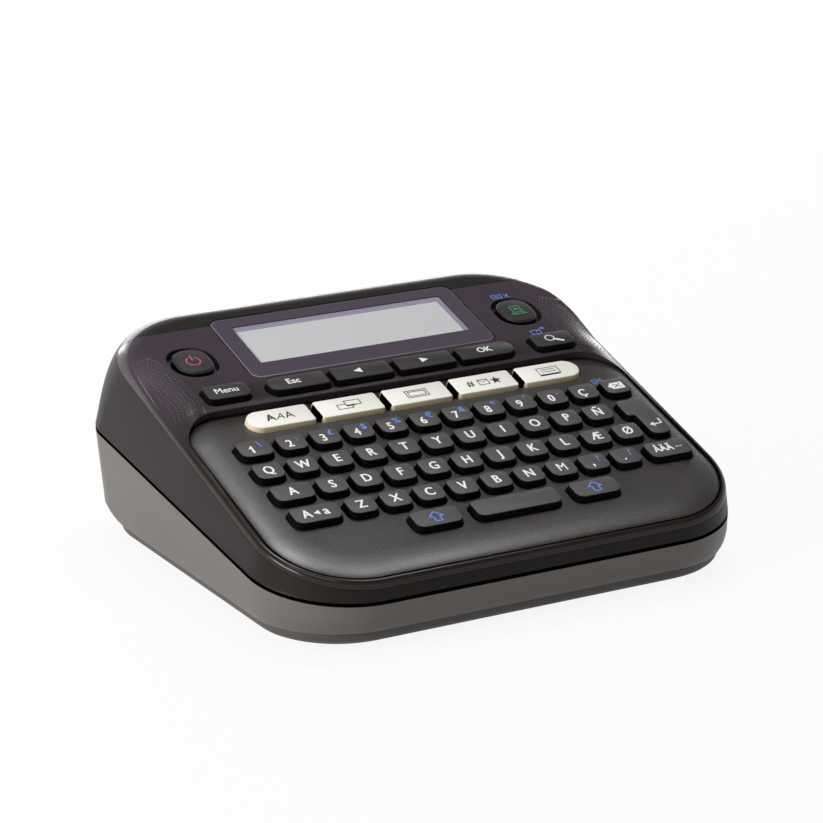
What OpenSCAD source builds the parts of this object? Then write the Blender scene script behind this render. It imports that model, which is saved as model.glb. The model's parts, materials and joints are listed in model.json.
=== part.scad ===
// Desktop label maker: keyboard, display, tape drive, cutter, tape cassette and back cover.
// Millimetres. Origin: centre of the footprint, on the surface the feet stand on.
// +X to the user's right, +Y towards the back, +Z up.

/* [Body] */
// Width of the body at the split line
body_w = 157; // [150:1:165]
// Depth of the body at the split line
body_d = 149; // [144:1:156]
// Plan radius of the two front corners
front_r = 29.2; // [24:0.2:32]
// Plan radius of the two rear corners
rear_r = 16; // [12:0.5:20]
// Housing wall
wall = 2; // [1.6:0.1:2.4]
// Height of the split line at the middle of the body
split_z = 24.75; // [23:0.25:26]
// Tilt of the split line
split_tilt = 8; // [6:0.25:9]
// How much narrower each side of the body is at the rim than at the split line
rim_draft = 1.5; // [0.5:0.1:2.5]
// How far the rear wall leans forward on its way up to the crown
crown_lean = 17; // [13:0.5:20]

/* [Keyboard deck] */
// Height of the keyboard deck at the middle of the body
deck_z = 46.1; // [45:0.1:48]
// Tilt of the keyboard deck
deck_tilt = 17.75; // [16.5:0.25:18.5]
// How far the glossy rim lies below the deck
rim_drop = 1.1; // [0.6:0.1:1.6]
// Thickness of the keyboard plate
plate_t = 1.6; // [1.2:0.1:2]
// Width of the glossy rim on each side of the keyboard plate
rim_w = 2.3; // [2:0.1:3.5]
// Width of the glossy rim in front of the keyboard plate
front_rim = 1.4; // [1.1:0.1:2.5]
// Rear edge of the keyboard plate, measured in plan
plate_rear = 9.8; // [9:0.1:10.4]
// Plate left free to the left of the second row of keys
left_margin = 10.5; // [9:0.1:12]
// Plate left free to the right of the Enter key
right_margin = 5.5; // [4:0.1:6.5]
// Spacing of the rows, along the slope
row_pitch = 11.7; // [11.3:0.1:11.9]
// Width of a letter key
key_w = 8; // [7.4:0.1:8.4]
// Depth of a letter key
key_d = 7.4; // [7:0.1:7.8]
// How far a letter key stands above the deck
key_rise = 2.2; // [1.6:0.1:2.8]
// How far a key travels
key_travel = 1; // [0.6:0.1:1]
// Gap round a key in its hole
key_gap = 0.3; // [0.2:0.05:0.4]

/* [Top panel] */
// Height of the top panel at the middle of the body
panel_z = 48.1; // [47.6:0.1:49]
// Tilt of the top panel
panel_tilt = 16.9; // [16:0.1:17.5]
// Depth of the rounded crown behind the face frame, measured in plan
crown_d = 4.5; // [3.5:0.5:6.5]
// Thickness of the face frame at its rim
frame_t = 2.2; // [1.8:0.1:2.6]
// Width of the top panel on each side of the display lens
lens_side = 23.1; // [22.5:0.1:25]
// Front edge of the display lens, along the slope
lens_front = 23.1; // [22.5:0.1:24]
// How far the display lens reaches back past the face frame, along the slope
lens_lap = 2.1; // [1.2:0.1:2.4]
// Thickness of the display lens
lens_t = 1.4; // [1:0.1:1.6]

/* [Back cover] */
// Height of the back cover's upper edge
cover_h = 5.3; // [4.8:0.1:5.8]
// Height of the rubber feet below the cover
foot_h = 0.9; // [0.6:0.1:1.2]

/* [Tape drive] */
// Radius of the platen roller
platen_r = 4.5; // [4:0.1:4.6]
// Radius of the platen shaft
shaft_r = 1.5; // [1.3:0.1:1.6]
// Gear module
gear_m = 0.5; // [0.48:0.01:0.52]
// Width of the label tape that the machine takes
tape_w = 12; // [9:1:12]

/* [Hidden] */
$fn = 48;
EPS = 0.01;
BIG = 400;

// ---- Planes of the body -------------------------------------------------
SEAT = 0.15;
function split(y) = split_z + y * tan(split_tilt);
function deck(y) = deck_z + y * tan(deck_tilt);
function rim(y) = deck(y) - rim_drop;
function panel(y) = panel_z + y * tan(panel_tilt);
function mix(a, b, t) = a + (b - a) * t;
function ramp(y, from, to) = min(1, max(0, (y - from) / (to - from)));

module on_deck() translate([0, 0, deck_z]) rotate([deck_tilt, 0, 0]) children();
module on_panel() translate([0, 0, panel_z]) rotate([panel_tilt, 0, 0]) children();
function along_deck(y) = y / cos(deck_tilt);
function along_panel(y) = y / cos(panel_tilt);

// ---- Sizes that follow from the body ------------------------------------
SIDE_X = body_w / 2;
REAR_Y = body_d / 2;
PLATE_HW = SIDE_X - rim_draft - rim_w;
PLATE_FRONT = front_rim - REAR_Y;
PANEL_STEP = 9.2;
PANEL_HW = PLATE_HW - PANEL_STEP;
PANEL_REAR = REAR_Y - crown_lean - crown_d;
LENS_HW = PANEL_HW - lens_side;
LENS_REAR = along_panel(PANEL_REAR) + lens_lap;

// ---- Outlines and lofts -------------------------------------------------
// Rounded plan outline with its own front and rear corner radii
module outline(hw, front, rear, rf, rr) {
    polygon([[rf - hw, front], [hw - rf, front], [hw, front + rf], [hw, rear - rr],
             [hw - rr, rear], [rr - hw, rear], [-hw, rear - rr], [-hw, front + rf]]);
    for (s = [-1, 1]) {
        translate([s * (hw - rf), front + rf]) circle(rf);
        translate([s * (hw - rr), rear - rr]) circle(rr);
    }
}

// Right half of an outline as points from the front middle to the rear middle
ARC_STEPS = 10;
function arc_points(cx, cy, r, a0) = [for (k = [0:ARC_STEPS]) [cx + r * cos(a0 + 90 * k / ARC_STEPS),
                                                              cy + r * sin(a0 + 90 * k / ARC_STEPS)]];
function half_outline(o) = concat(
    arc_points(o[0] - o[3], o[1] + o[3], o[3], -90),
    [[o[0], plate_rear], [o[0], plate_rear + STEP_RUN]],
    arc_points(o[0] - o[4], o[2] - o[4], o[4], 0));
function mirrored(points) = [for (i = [len(points) - 1:-1:0]) [-points[i][0], points[i][1], points[i][2]]];

// A closed solid through rings that each hold the right half of an outline, lowest ring first
module loft(half_rings) {
    rings = [for (h = half_rings) concat(h, mirrored(h))];
    n = len(rings[0]);
    last = len(rings) - 1;
    half = len(half_rings[0]);
    sides = [for (j = [0:last - 1], i = [0:n - 1]) let (a = j * n + i, b = j * n + (i + 1) % n)
             each [[a, a + n, b + n], [a, b + n, b]]];
    function cap(base) = [for (i = [0:half - 2]) each [[base + i, base + n - 1 - i, base + n - 2 - i],
                                                       [base + i, base + n - 2 - i, base + i + 1]]];
    function flipped(faces) = [for (f = faces) [f[2], f[1], f[0]]];
    polyhedron([for (r = rings) each r], concat(sides, cap(last * n), flipped(cap(0))), convexity = 8);
}

// ---- Upper body: side wall, rolled crown at the back, rim and raised panel
STEP_RUN = 1.2;
RIM_ROUND = 1.4;
CROWN_FROM = REAR_Y - 26.5;
CROWN_TO = REAR_Y - 16.5;
CROWN_POWER = 2.2;
CROWN_LID = 4.4;
function rear_y(h) = REAR_Y - crown_lean * (1 - pow(1 - pow(h, CROWN_POWER), 1 / CROWN_POWER));
// The height of one ring: side_h and rear_h run from 0 at the split line to 1 at the top
function body_z(y, side_h, rear_h, side_drop, lid, low) =
    mix(mix(split(y) - low, rim(y) - RIM_ROUND - lid, side_h) + (side_h == 1 ? RIM_ROUND - side_drop : 0),
        mix(split(y) - low, panel(y) - (lid > 0 ? CROWN_LID : 0), rear_h),
        ramp(y, CROWN_FROM, CROWN_TO));
function body_ring(side_h, rear_h, side_in, side_drop, rear_in, inset, lid, low) =
    let (hw = SIDE_X - rim_draft * side_h - side_in - inset,
         rear = rear_y(rear_h) - rear_in - inset,
         rf = front_r - rim_draft * side_h - side_in - inset,
         rr = rear_r + 13 * rear_h - inset)
    [for (p = half_outline([hw, side_in + inset - REAR_Y, rear, rf, rr]))
        [p[0], p[1], body_z(p[1], side_h, rear_h, side_drop, lid, low)]];
WALL_STEPS = [[0, 0], [0.25, 0.2], [0.5, 0.46], [0.72, 0.68], [0.88, 0.85], [0.96, 0.95]];
RIM_STEPS = [[0.985, 0, 1.4], [0.998, 0.12, 0.8], [1, 0.41, 0.4], [1, 0.9, 0.1], [1, 1.4, 0]];
function panel_ring() = [for (p = half_outline([PANEL_HW, 16 - REAR_Y, rear_y(1) - 1.8, 18, 16]))
    [p[0], p[1], mix(rim(p[1]), panel(p[1]), ramp(p[1], plate_rear, plate_rear + STEP_RUN))]];

module upper_body() loft(concat(
    [for (s = WALL_STEPS) body_ring(s[0], s[1], 0, 0, 0, 0, 0, 0)],
    [for (s = RIM_STEPS) body_ring(1, s[0], s[1], s[2], 0, 0, 0, 0)],
    [panel_ring()]));
LEDGE_T = 1.5;
module upper_cavity() loft([for (s = concat(WALL_STEPS, [[1, 0.985]]))
    body_ring(s[0], s[1], 0, 0, 0, wall, frame_t + LEDGE_T, 1)]);

// ---- Lower body and cover ------------------------------------------------
// A ring is set in from the split outline, and its rear corners grow rounder towards the underside
function low_outline(inset, rounder) = half_outline([SIDE_X - inset, inset - REAR_Y, REAR_Y - inset,
    front_r - inset, rear_r + rounder]);
function level_ring(inset, z, rounder) = [for (p = low_outline(inset, rounder)) [p[0], p[1], z]];
function split_ring(inset, raise) = [for (p = low_outline(inset, -inset)) [p[0], p[1], split(p[1]) + raise]];
JOINT_Z = cover_h + 0.3;
FLOOR_T = 1.8;
module lower_body() loft([level_ring(2.3, JOINT_Z, 10), level_ring(1.5, JOINT_Z + 1.2, 9),
    level_ring(0.8, JOINT_Z + 2.9, 7), level_ring(0.3, JOINT_Z + 5.2, 5), split_ring(0, -SEAT)]);
module lower_cavity() loft([level_ring(2.3 + wall, JOINT_Z + FLOOR_T, 9 - wall),
    level_ring(0.6 + wall, JOINT_Z + 4.2, 6 - wall), split_ring(wall, 1)]);

// ---- Screws that hold the two housings together ---------------------------
BOSS_R = 3.6;
SCREW_R = 1.5;
SCREW_HEAD_R = 2.8;
SCREW_GRIP = 7;
SIDE_BOSS_X = SIDE_X - 7.5;
REAR_BOSS_X = SIDE_X - 20.5;
REAR_BOSS_Y = REAR_Y - 14.5;
BOSSES = [for (s = [-1, 1]) each [[s * SIDE_BOSS_X, -38], [s * SIDE_BOSS_X, 26], [s * REAR_BOSS_X, REAR_BOSS_Y]]];

// ---- Bays in the underside ------------------------------------------------
BAY_WALL = 1.2;
BAY_GAP = 0.6;
// Plane of the print head's face, which the whole tape path is set out from
HEAD_FACE_X = 25.6 - REAR_BOSS_X;
CASE_X0 = HEAD_FACE_X - 1.6;
CASE_X1 = REAR_BOSS_X - BOSS_R - 2.4;
CASE_Y0 = 6;
CASE_Y1 = REAR_Y - 12.5;
CASE_Z0 = JOINT_Z + 1.8;
CASE_Z1 = CASE_Z0 + 18;
BAY_X0 = HEAD_FACE_X - 11.6;
BAY_X1 = CASE_X1 + BAY_GAP;
BAY_Y0 = CASE_Y0 - BAY_GAP;
BAY_Y1 = CASE_Y1 + BAY_GAP;
BAY_Z1 = CASE_Z1 + 0.4;
CEILING_Z = BAY_Z1 + 1.4;
CELL_R = 5.2;
CELL_L = 44.5;
CELL_PITCH = 11;
CELLS = 6;
CELL_Z = CASE_Z0 + CELL_R;
CELL_Y = -27;
SPRING_L = 2.6;
BATT_HW = CELLS * CELL_PITCH / 2 + 1;
BATT_Y0 = CELL_Y - CELL_L / 2 - SPRING_L - 0.4;
BATT_Y1 = CELL_Y + CELL_L / 2 + SPRING_L + 0.4;
BATT_Z1 = CELL_Z + CELL_R + 0.5;
function cell_x(i) = (i - (CELLS - 1) / 2) * CELL_PITCH;

// ---- Tape path -------------------------------------------------------------
NIP_GAP = 0.3;
TAPE_Z = CASE_Z0 + 8;
PLATEN = [HEAD_FACE_X - NIP_GAP - platen_r, CASE_Y1 - 18];
RUN_GAP = 0.05;
HEAD_PIVOT = [HEAD_FACE_X + 2.6, CASE_Y1 - 38];
HEAD_T = 0.8;
ARM_T = 1.4;
PIN_R = 1.2;

// Gear train: three planes between the bay ceiling and the mechanism frame
GEAR_T = 1.9;
GEAR_GAP = 0.35;
function plane_z(i) = CEILING_Z + GEAR_GAP + i * (GEAR_T + GEAR_GAP);
FRAME_Z = plane_z(3);
FRAME_T = 1.2;
PLATEN_TEETH = 30;
PINION_TEETH = 12;
SECOND_TEETH = 36;
FIRST_TEETH = 40;
MOTOR_TEETH = 10;
RIBBON_TEETH = 32;
function pitch_r(teeth) = teeth * gear_m / 2;
function polar(from, r, a) = [from[0] + r * cos(a), from[1] + r * sin(a)];
SECOND_DIR = -36;
RIBBON_DIR = -20;
FIRST_DIR = 60;
MOTOR_DIR = 20;
SECOND = polar(PLATEN, pitch_r(PLATEN_TEETH + PINION_TEETH), SECOND_DIR);
RIBBON = polar(SECOND, pitch_r(PINION_TEETH + RIBBON_TEETH), RIBBON_DIR);
FIRST = polar(SECOND, pitch_r(SECOND_TEETH + PINION_TEETH), FIRST_DIR);
MOTOR = polar(FIRST, pitch_r(FIRST_TEETH + MOTOR_TEETH), MOTOR_DIR);
AXLE_R = 1.2;

// Cutter behind the bay
RECESS = 3;
CUT_Y = BAY_Y1 + BAY_WALL + 1.4;
BLADE_T = 0.6;
CUT_PIVOT = [HEAD_FACE_X + 26.4, CASE_Z0 + 4.1];
CUT_BOSS_R = 3.6;
SLOT_X0 = HEAD_FACE_X - 2.6;
SLOT_X1 = HEAD_FACE_X + 2.6;
SLOT_Z0 = TAPE_Z - tape_w / 2 - 1;
SLOT_Z1 = TAPE_Z + tape_w / 2 + 1;
LEVER_T = 1.8;
LEVER_Y = CUT_Y + 2 * BLADE_T + 0.5;
TAB_R = 36;
TAB_REST = 150;
CUT_SWING = 30.5;
TAB_HALF = 2.4;
TAB_END = REAR_Y;
// Recess in the rear wall round the tape exit and the cutter tab: [x from, x to, z from, z to]
EXIT = [HEAD_FACE_X - 14.6, HEAD_FACE_X + 5.9, JOINT_Z + 2.4, 33];
module exit_recess(grow, from) translate([(EXIT[0] + EXIT[1]) / 2, from, (EXIT[2] + EXIT[3]) / 2])
    rotate([-90, 0, 0]) linear_extrude(height = BIG / 4)
        outline((EXIT[1] - EXIT[0]) / 2 + grow, (EXIT[2] - EXIT[3]) / 2 - grow, (EXIT[3] - EXIT[2]) / 2 + grow,
                2 + grow, 2 + grow);

// ---- Spur gear: straight-flanked teeth, one tooth centred on the angle "phase"
module gear_teeth(teeth, t, phase) {
    r = pitch_r(teeth);
    step = 360 / teeth;
    linear_extrude(height = t) polygon([for (i = [0:teeth - 1]) let (a = phase + i * step) each [
        polar([0, 0], r - 1.15 * gear_m, a - step * 0.33), polar([0, 0], r + 0.75 * gear_m, a - step * 0.09),
        polar([0, 0], r + 0.75 * gear_m, a + step * 0.09), polar([0, 0], r - 1.15 * gear_m, a + step * 0.33)]]);
}
// Phase of a follower's tooth gap, seen from its own centre towards the gear that drives it
function meshed(direction, teeth) = direction + 180 + 180 / teeth;

// ---- Housings ----------------------------------------------------------------
module face_pocket(gap, extra) {
    rear = along_deck(PANEL_REAR) + gap;
    on_deck() translate([0, 0, -rim_drop - frame_t - gap]) linear_extrude(height = 30)
        outline(SIDE_X - rim_draft + extra, -body_d, rear, 7, 7);
}
module lens_outline(gap) outline(LENS_HW + gap, lens_front - gap, LENS_REAR + gap, 3.1 + gap, 3.1 + gap);
module plate_outline(gap) outline(PLATE_HW + gap, along_deck(PLATE_FRONT) - gap, along_deck(plate_rear) + gap,
                                  25.6 + gap, 13.6 + gap);

module upper_housing() color([0.24, 0.22, 0.21]) difference() {
    union() {
        difference() {
            upper_body();
            upper_cavity();
        }
        intersection() {
            upper_body();
            for (b = BOSSES) translate([b[0], b[1], split(b[1])]) cylinder(r = BOSS_R, h = 60);
        }
    }
    face_pocket(0, 5);
    on_panel() translate([0, 0, -lens_t - 0.2]) linear_extrude(height = 10) lens_outline(0.15);
    // opening under the display
    on_panel() translate([0, 0, -10]) linear_extrude(height = 20)
        outline(MODULE_HW + 1, MODULE_V0 - 1, MODULE_V1 + 1, 1, 1);
    // opening in the ledge for the boards and keys
    on_deck() translate([0, 0, -rim_drop - frame_t - LEDGE_T - 2]) linear_extrude(height = 30)
        outline(PLATE_HW - 3.6, along_deck(PLATE_FRONT) + 3.6, along_deck(PANEL_REAR) - 4, 22, 6);
    for (b = BOSSES) translate([b[0], b[1], split(b[1]) - 2]) cylinder(r = SCREW_R + RUN_GAP, h = SCREW_GRIP + 3);
}

module lower_housing() color([0.33, 0.31, 0.29]) difference() {
    union() {
        difference() {
            lower_body();
            lower_cavity();
        }
        intersection() {
            lower_body();
            union() {
                for (b = BOSSES) translate([b[0], b[1], JOINT_Z])
                    cylinder(r = BOSS_R, h = split(b[1]) - JOINT_Z - SEAT);
                exit_recess(wall, REAR_Y - RECESS - wall);
            }
        }
        translate([BAY_X0 - BAY_WALL, BAY_Y0 - BAY_WALL, JOINT_Z])
            cube([BAY_X1 - BAY_X0 + 2 * BAY_WALL, BAY_Y1 - BAY_Y0 + 2 * BAY_WALL, CEILING_Z - JOINT_Z]);
        translate([-BATT_HW - BAY_WALL, BATT_Y0 - BAY_WALL, JOINT_Z])
            cube([2 * (BATT_HW + BAY_WALL), BATT_Y1 - BATT_Y0 + 2 * BAY_WALL, BATT_Z1 + BAY_WALL - JOINT_Z]);
    }
    for (b = BOSSES) translate([b[0], b[1], 0]) {
        cylinder(r = SCREW_R + 0.1, h = BIG / 2);
        cylinder(r = SCREW_HEAD_R + 0.2, h = split(b[1]) - SCREW_GRIP);
    }
    difference() {
        translate([BAY_X0, BAY_Y0, 0]) cube([BAY_X1 - BAY_X0, BAY_Y1 - BAY_Y0, BAY_Z1]);
        // bearing arm below the platen
        translate([BAY_X0, PLATEN[1] - 3, JOINT_Z + 1]) cube([PLATEN[0] - BAY_X0, 6, 1.6]);
        translate([PLATEN[0], PLATEN[1], JOINT_Z + 1]) cylinder(r = 3, h = 1.6);
    }
    translate([-BATT_HW, BATT_Y0, 0]) cube([2 * BATT_HW, BATT_Y1 - BATT_Y0, BATT_Z1]);
    translate([PLATEN[0], PLATEN[1], 0]) cylinder(r = shaft_r + RUN_GAP, h = BIG / 4);
    translate([RIBBON[0], RIBBON[1], 0]) cylinder(r = 3, h = BIG / 4);
    // mounting hole of the head pivot
    translate([HEAD_PIVOT[0], HEAD_PIVOT[1], 0]) cylinder(r = PIN_R + RUN_GAP, h = BIG / 4);
    // slots that take the tabs of the back cover
    for (t = COVER_TABS) translate([t[0] - t[2] / 2 - TAB_GAP, t[1] - TAB_T / 2 - TAB_GAP, 0])
        cube([t[2] + 2 * TAB_GAP, TAB_T + 2 * TAB_GAP, JOINT_Z + FLOOR_T + 1]);
    // tape exit through the bay wall and the rear wall
    translate([SLOT_X0, BAY_Y1 - 1, SLOT_Z0]) cube([SLOT_X1 - SLOT_X0, body_d, SLOT_Z1 - SLOT_Z0]);
    exit_recess(0, REAR_Y - RECESS);
    lever_slot();
    jack_hole();
}

JACK = [REAR_BOSS_X - 10, CASE_Z0 + 10];
JACK_R = 4.2;
module jack_hole() translate([JACK[0], REAR_Y - 4, JACK[1]]) rotate([-90, 0, 0])
    cylinder(r = JACK_R + 0.2, h = 20);

// Curved slot in the rear wall that the cutter tab runs in
module lever_slot() translate([CUT_PIVOT[0], REAR_Y - RECESS - wall - 1, CUT_PIVOT[1]])
    rotate([-90, 0, 0]) linear_extrude(height = RECESS + wall + 2) {
        rotate([0, 0, -TAB_REST]) slot_sector(CUT_SWING);
        for (a = [0, CUT_SWING]) rotate([0, 0, -TAB_REST - a]) translate([TAB_R, 0]) circle(TAB_HALF + 0.6);
    }
module slot_sector(angle) difference() {
    intersection() {
        circle(TAB_R + TAB_HALF + 0.6, $fn = 96);
        polygon([[0, 0], [2 * TAB_R, 0], polar([0, 0], 2 * TAB_R, -angle)]);
    }
    circle(TAB_R - TAB_HALF - 0.6, $fn = 96);
}

module face_frame() color([0.17, 0.15, 0.17]) difference() {
    intersection() {
        upper_body();
        face_pocket(-SEAT, 5);
    }
    on_deck() translate([0, 0, -30]) linear_extrude(height = 60) plate_outline(0.2);
    on_panel() {
        translate([0, 0, -lens_t - 0.2]) linear_extrude(height = 10) lens_outline(0.15);
        // window behind the lens, and the relief that leaves an even wall
        translate([0, 0, -30]) linear_extrude(height = 60)
            outline(LENS_HW - 2.5, lens_front + 2.5, LENS_REAR + 5, 1, 1);
        difference() {
            translate([0, 0, -30]) linear_extrude(height = 30 - PANEL_T)
                outline(PANEL_HW + 0.6, along_panel(plate_rear) + 1, along_panel(PANEL_REAR) - 4, 3, 8);
            for (p = PANEL_POSTS) translate([p[0], p[1], PANEL_BOARD_N]) cylinder(r = POST_R, h = 30);
        }
        for (k = PANEL_KEYS) translate([k[0], k[1], -30]) linear_extrude(height = 60)
            key_shape(k, k[6]);
    }
}

module keyboard_plate() color([0.2, 0.2, 0.2]) on_deck() difference() {
    union() {
        translate([0, 0, -rim_drop - frame_t]) linear_extrude(height = rim_drop + frame_t) plate_outline(0);
        for (p = PLATE_POSTS) translate([p[0], p[1], BOARD_N]) cylinder(r = POST_R, h = -BOARD_N);
    }
    difference() {
        translate([0, 0, -rim_drop - frame_t - 1]) linear_extrude(height = rim_drop + frame_t + 1 - plate_t)
            plate_outline(-2.6);
        for (p = PLATE_POSTS) translate([p[0], p[1], -BIG / 2]) cylinder(r = POST_R, h = BIG);
    }
    for (p = PLATE_POSTS) translate([p[0], p[1], BOARD_N - 1]) cylinder(r = BOARD_SCREW_R, h = 4);
    for (k = DECK_KEYS) translate([k[0], k[1], -10]) linear_extrude(height = 20) key_shape(k, key_gap);
    translate([0, 0, -10]) linear_extrude(height = 20) enter_shape(key_gap);
}

module display_lens() color([0.35, 0.33, 0.4]) on_panel() translate([0, 0, -lens_t - 0.05])
    linear_extrude(height = lens_t) lens_outline(0);

// ---- Keys -----------------------------------------------------------------
// Outline of key k = [x, v, width, depth, front radius, rear radius, panel gap, round end], grown on all sides.
// The round end is -1 for the left, 1 for the right and 0 for neither.
module key_shape(k, grow) {
    w = k[2] + 2 * grow;
    d = k[3] + 2 * grow;
    if (k[7] == 0) corner_shape(w, d, k[4] + grow, k[5] + grow);
    else {
        translate([-k[7] * d / 4, 0]) corner_shape(w - d / 2, d, k[4] + grow, k[5] + grow);
        translate([k[7] * (w / 2 - d / 2), 0]) circle(d / 2);
        translate([k[7] * (w / 4 - d / 4), 0]) square([w / 2 - d / 2, d], center = true);
    }
}
module corner_shape(w, d, front, back) {
    polygon([[front - w / 2, -d / 2], [w / 2 - front, -d / 2], [w / 2, front - d / 2], [w / 2, d / 2 - back],
             [w / 2 - back, d / 2], [back - w / 2, d / 2], [-w / 2, d / 2 - back], [-w / 2, front - d / 2]]);
    for (s = [-1, 1]) {
        translate([s * (w / 2 - front), front - d / 2]) circle(front);
        translate([s * (w / 2 - back), d / 2 - back]) circle(back);
    }
}
FLANGE = 0.7;
FLANGE_T = 0.9;
DOME_GAP = 0.3;
MAT_T = 0.8;
BOARD_T = 1.6;
DECK_FLANGE_N = -plate_t - 0.3 - FLANGE_T;
MAT_N = DECK_FLANGE_N - key_travel - DOME_GAP - 1.2;
BOARD_N = MAT_N - MAT_T;
PANEL_T = 2;
PANEL_FLANGE_N = -PANEL_T - 0.3 - FLANGE_T;
PANEL_MAT_N = PANEL_FLANGE_N - key_travel - DOME_GAP - 0.8;
PANEL_BOARD_N = PANEL_MAT_N - MAT_T;

// A key: cap above the plate with a stepped edge, and below it the flange that keeps it in its hole
CAP_EDGE = 0.4;
module key(k, rise, flange_n, flange) translate([k[0], k[1], 0]) {
    translate([0, 0, flange_n]) linear_extrude(height = rise - flange_n - CAP_EDGE) key_shape(k, 0);
    translate([0, 0, rise - CAP_EDGE - EPS]) linear_extrude(height = CAP_EDGE + EPS) key_shape(k, -CAP_EDGE / 2);
    translate([0, 0, flange_n]) linear_extrude(height = FLANGE_T) key_shape(k, flange);
}

// Rows run down the deck from the number row
ROW_V = -11.9;
FRONT_R = 2.4;
BACK_R = 1.5;
function row_v(i) = ROW_V - i * row_pitch;
function deck_key(x, row, w = key_w) = [x, row_v(row), w, key_d, FRONT_R, BACK_R, key_gap, 0];
// A wide key from one edge to the other
function span_key(from, to, row) = deck_key((from + to) / 2, row, to - from);
// Keys fill the plate between its margins; the Enter key closes the rows on the right
KEY_LEFT = left_margin - PLATE_HW;
KEY_RIGHT = PLATE_HW - right_margin;
ENTER_W = 9.4;
ENTER_FOOT = 6.8;
KEY_PITCH = (KEY_RIGHT - KEY_LEFT - ENTER_W - 1.13) / 11;
// How far each row is shifted against the second one, in pitches
NUMBER_SHIFT = 1.173;
HOME_SHIFT = 1.334;
LOWER_SHIFT = 1.647;
function key_x(pitches) = KEY_LEFT + key_w / 2 + pitches * KEY_PITCH;
function key_edge(pitches) = key_x(pitches) - key_w / 2;
NUMBER_ROW = concat([span_key(KEY_LEFT + 0.2, key_edge(NUMBER_SHIFT) - 3.3, 0)],
                    [for (i = [0:9]) deck_key(key_x(NUMBER_SHIFT + i), 0)]);
UPPER_ROW = [for (i = [0:10]) deck_key(key_x(i), 1)];
HOME_ROW = concat([span_key(KEY_LEFT + 0.2, key_edge(HOME_SHIFT) - 2.9, 2)],
                  [for (i = [0:9]) deck_key(key_x(HOME_SHIFT + i), 2)]);
LOWER_ROW = [for (i = [0:8]) deck_key(key_x(LOWER_SHIFT + i), 3)];
BACKSPACE = deck_key(key_x(11.2), 0);
CAPS = span_key(KEY_LEFT + 0.4, key_edge(LOWER_SHIFT) - 3.2, 3);
ACCENT = span_key(key_x(LOWER_SHIFT + 8) + key_w / 2 + 3.9, KEY_RIGHT + 0.75, 3);
SHIFT_LEFT = deck_key(-23.5, 4, 15);
SPACE_BAR = deck_key(3, 4, 28);
SHIFT_RIGHT = deck_key(29.8, 4, 15);
WHITE_GAP = 2.7;
WHITE_LEFT = KEY_LEFT + 9.6;
WHITE_PITCH = (KEY_RIGHT - 10 - WHITE_LEFT + WHITE_GAP) / 5;
WHITE_W = WHITE_PITCH - WHITE_GAP;
WHITE_D = 8.8;
WHITE_V = 2.4;
WHITE_RISE = 1.4;
function round_end(i, last) = i == 0 ? -1 : i == last ? 1 : 0;
function white_key(i) = [WHITE_LEFT + WHITE_W / 2 + i * WHITE_PITCH, WHITE_V, WHITE_W, WHITE_D, 0.8, 0.8, key_gap,
    round_end(i, 4)];
WHITE_KEYS = [for (i = [0:4]) white_key(i)];
ENTER_X = [KEY_RIGHT - ENTER_W, KEY_RIGHT - ENTER_FOOT, KEY_RIGHT];
ENTER_V = [row_v(2) - key_d / 2, row_v(1) - key_d / 2 - 0.6, row_v(1) + key_d / 2];
module enter_shape(gap) {
    right = ENTER_X[2] + gap;
    translate([(ENTER_X[0] - gap + right) / 2, (ENTER_V[1] + ENTER_V[2]) / 2])
        corner_shape(right - ENTER_X[0] + gap, ENTER_V[2] - ENTER_V[1] + 2 * gap, BACK_R, BACK_R);
    translate([(ENTER_X[1] - gap + right) / 2, (ENTER_V[0] + ENTER_V[2]) / 2])
        corner_shape(right - ENTER_X[1] + gap, ENTER_V[2] - ENTER_V[0] + 2 * gap, FRONT_R, BACK_R);
}
DECK_KEYS = concat(NUMBER_ROW, UPPER_ROW, HOME_ROW, LOWER_ROW, WHITE_KEYS,
                   [BACKSPACE, CAPS, ACCENT, SHIFT_LEFT, SPACE_BAR, SHIFT_RIGHT]);
POST_R = 1.6;
// Posts stand in the free strip between the white keys and the number row, and beside the shift keys
POST_V = (WHITE_V - WHITE_D / 2 + ROW_V + key_d / 2) / 2;
PLATE_POSTS = [for (s = [-1, 1]) each [[s * (PLATE_HW - 14.7), POST_V], [s * (PLATE_HW - 24.7), row_v(4)]]];

// Keys of the top panel, laid out as key_shape reads them
function round_key(x, v) = [x, v, 11, 12.4, 4.6, 4.6, 1.2, 0];
function side_key(x, v) = [x, v, 13.6, 7.4, 2.2, 1.4, key_gap, 0];
POWER = round_key(8.7 - PANEL_HW, LENS_REAR - 20.9);
PRINT = round_key(PANEL_HW - 8.8, LENS_REAR - 21.1);
MENU = side_key(10.5 - PANEL_HW, 16.4);
PREVIEW = side_key(PANEL_HW - 7.5, 15.9);
NAV_GAP = 2.55;
NAV_LEFT = 0.85 - LENS_HW;
NAV_PITCH = (LENS_HW + 0.9 - NAV_LEFT + NAV_GAP) / 4;
NAV_W = NAV_PITCH - NAV_GAP;
function nav_key(i) = [NAV_LEFT + NAV_W / 2 + i * NAV_PITCH, 15.6, NAV_W, 6.8, 0.8, 0.8, key_gap, round_end(i, 3)];
PANEL_KEYS = [POWER, PRINT, MENU, PREVIEW, nav_key(0), nav_key(1), nav_key(2), nav_key(3)];
PANEL_POSTS = [for (s = [-1, 1], v = [lens_front + 0.9, LENS_REAR - 11.5]) [s * (LENS_HW + 3.4), v]];
ROUND_RISE = 0.6;
NAV_RISE = 1.5;

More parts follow.
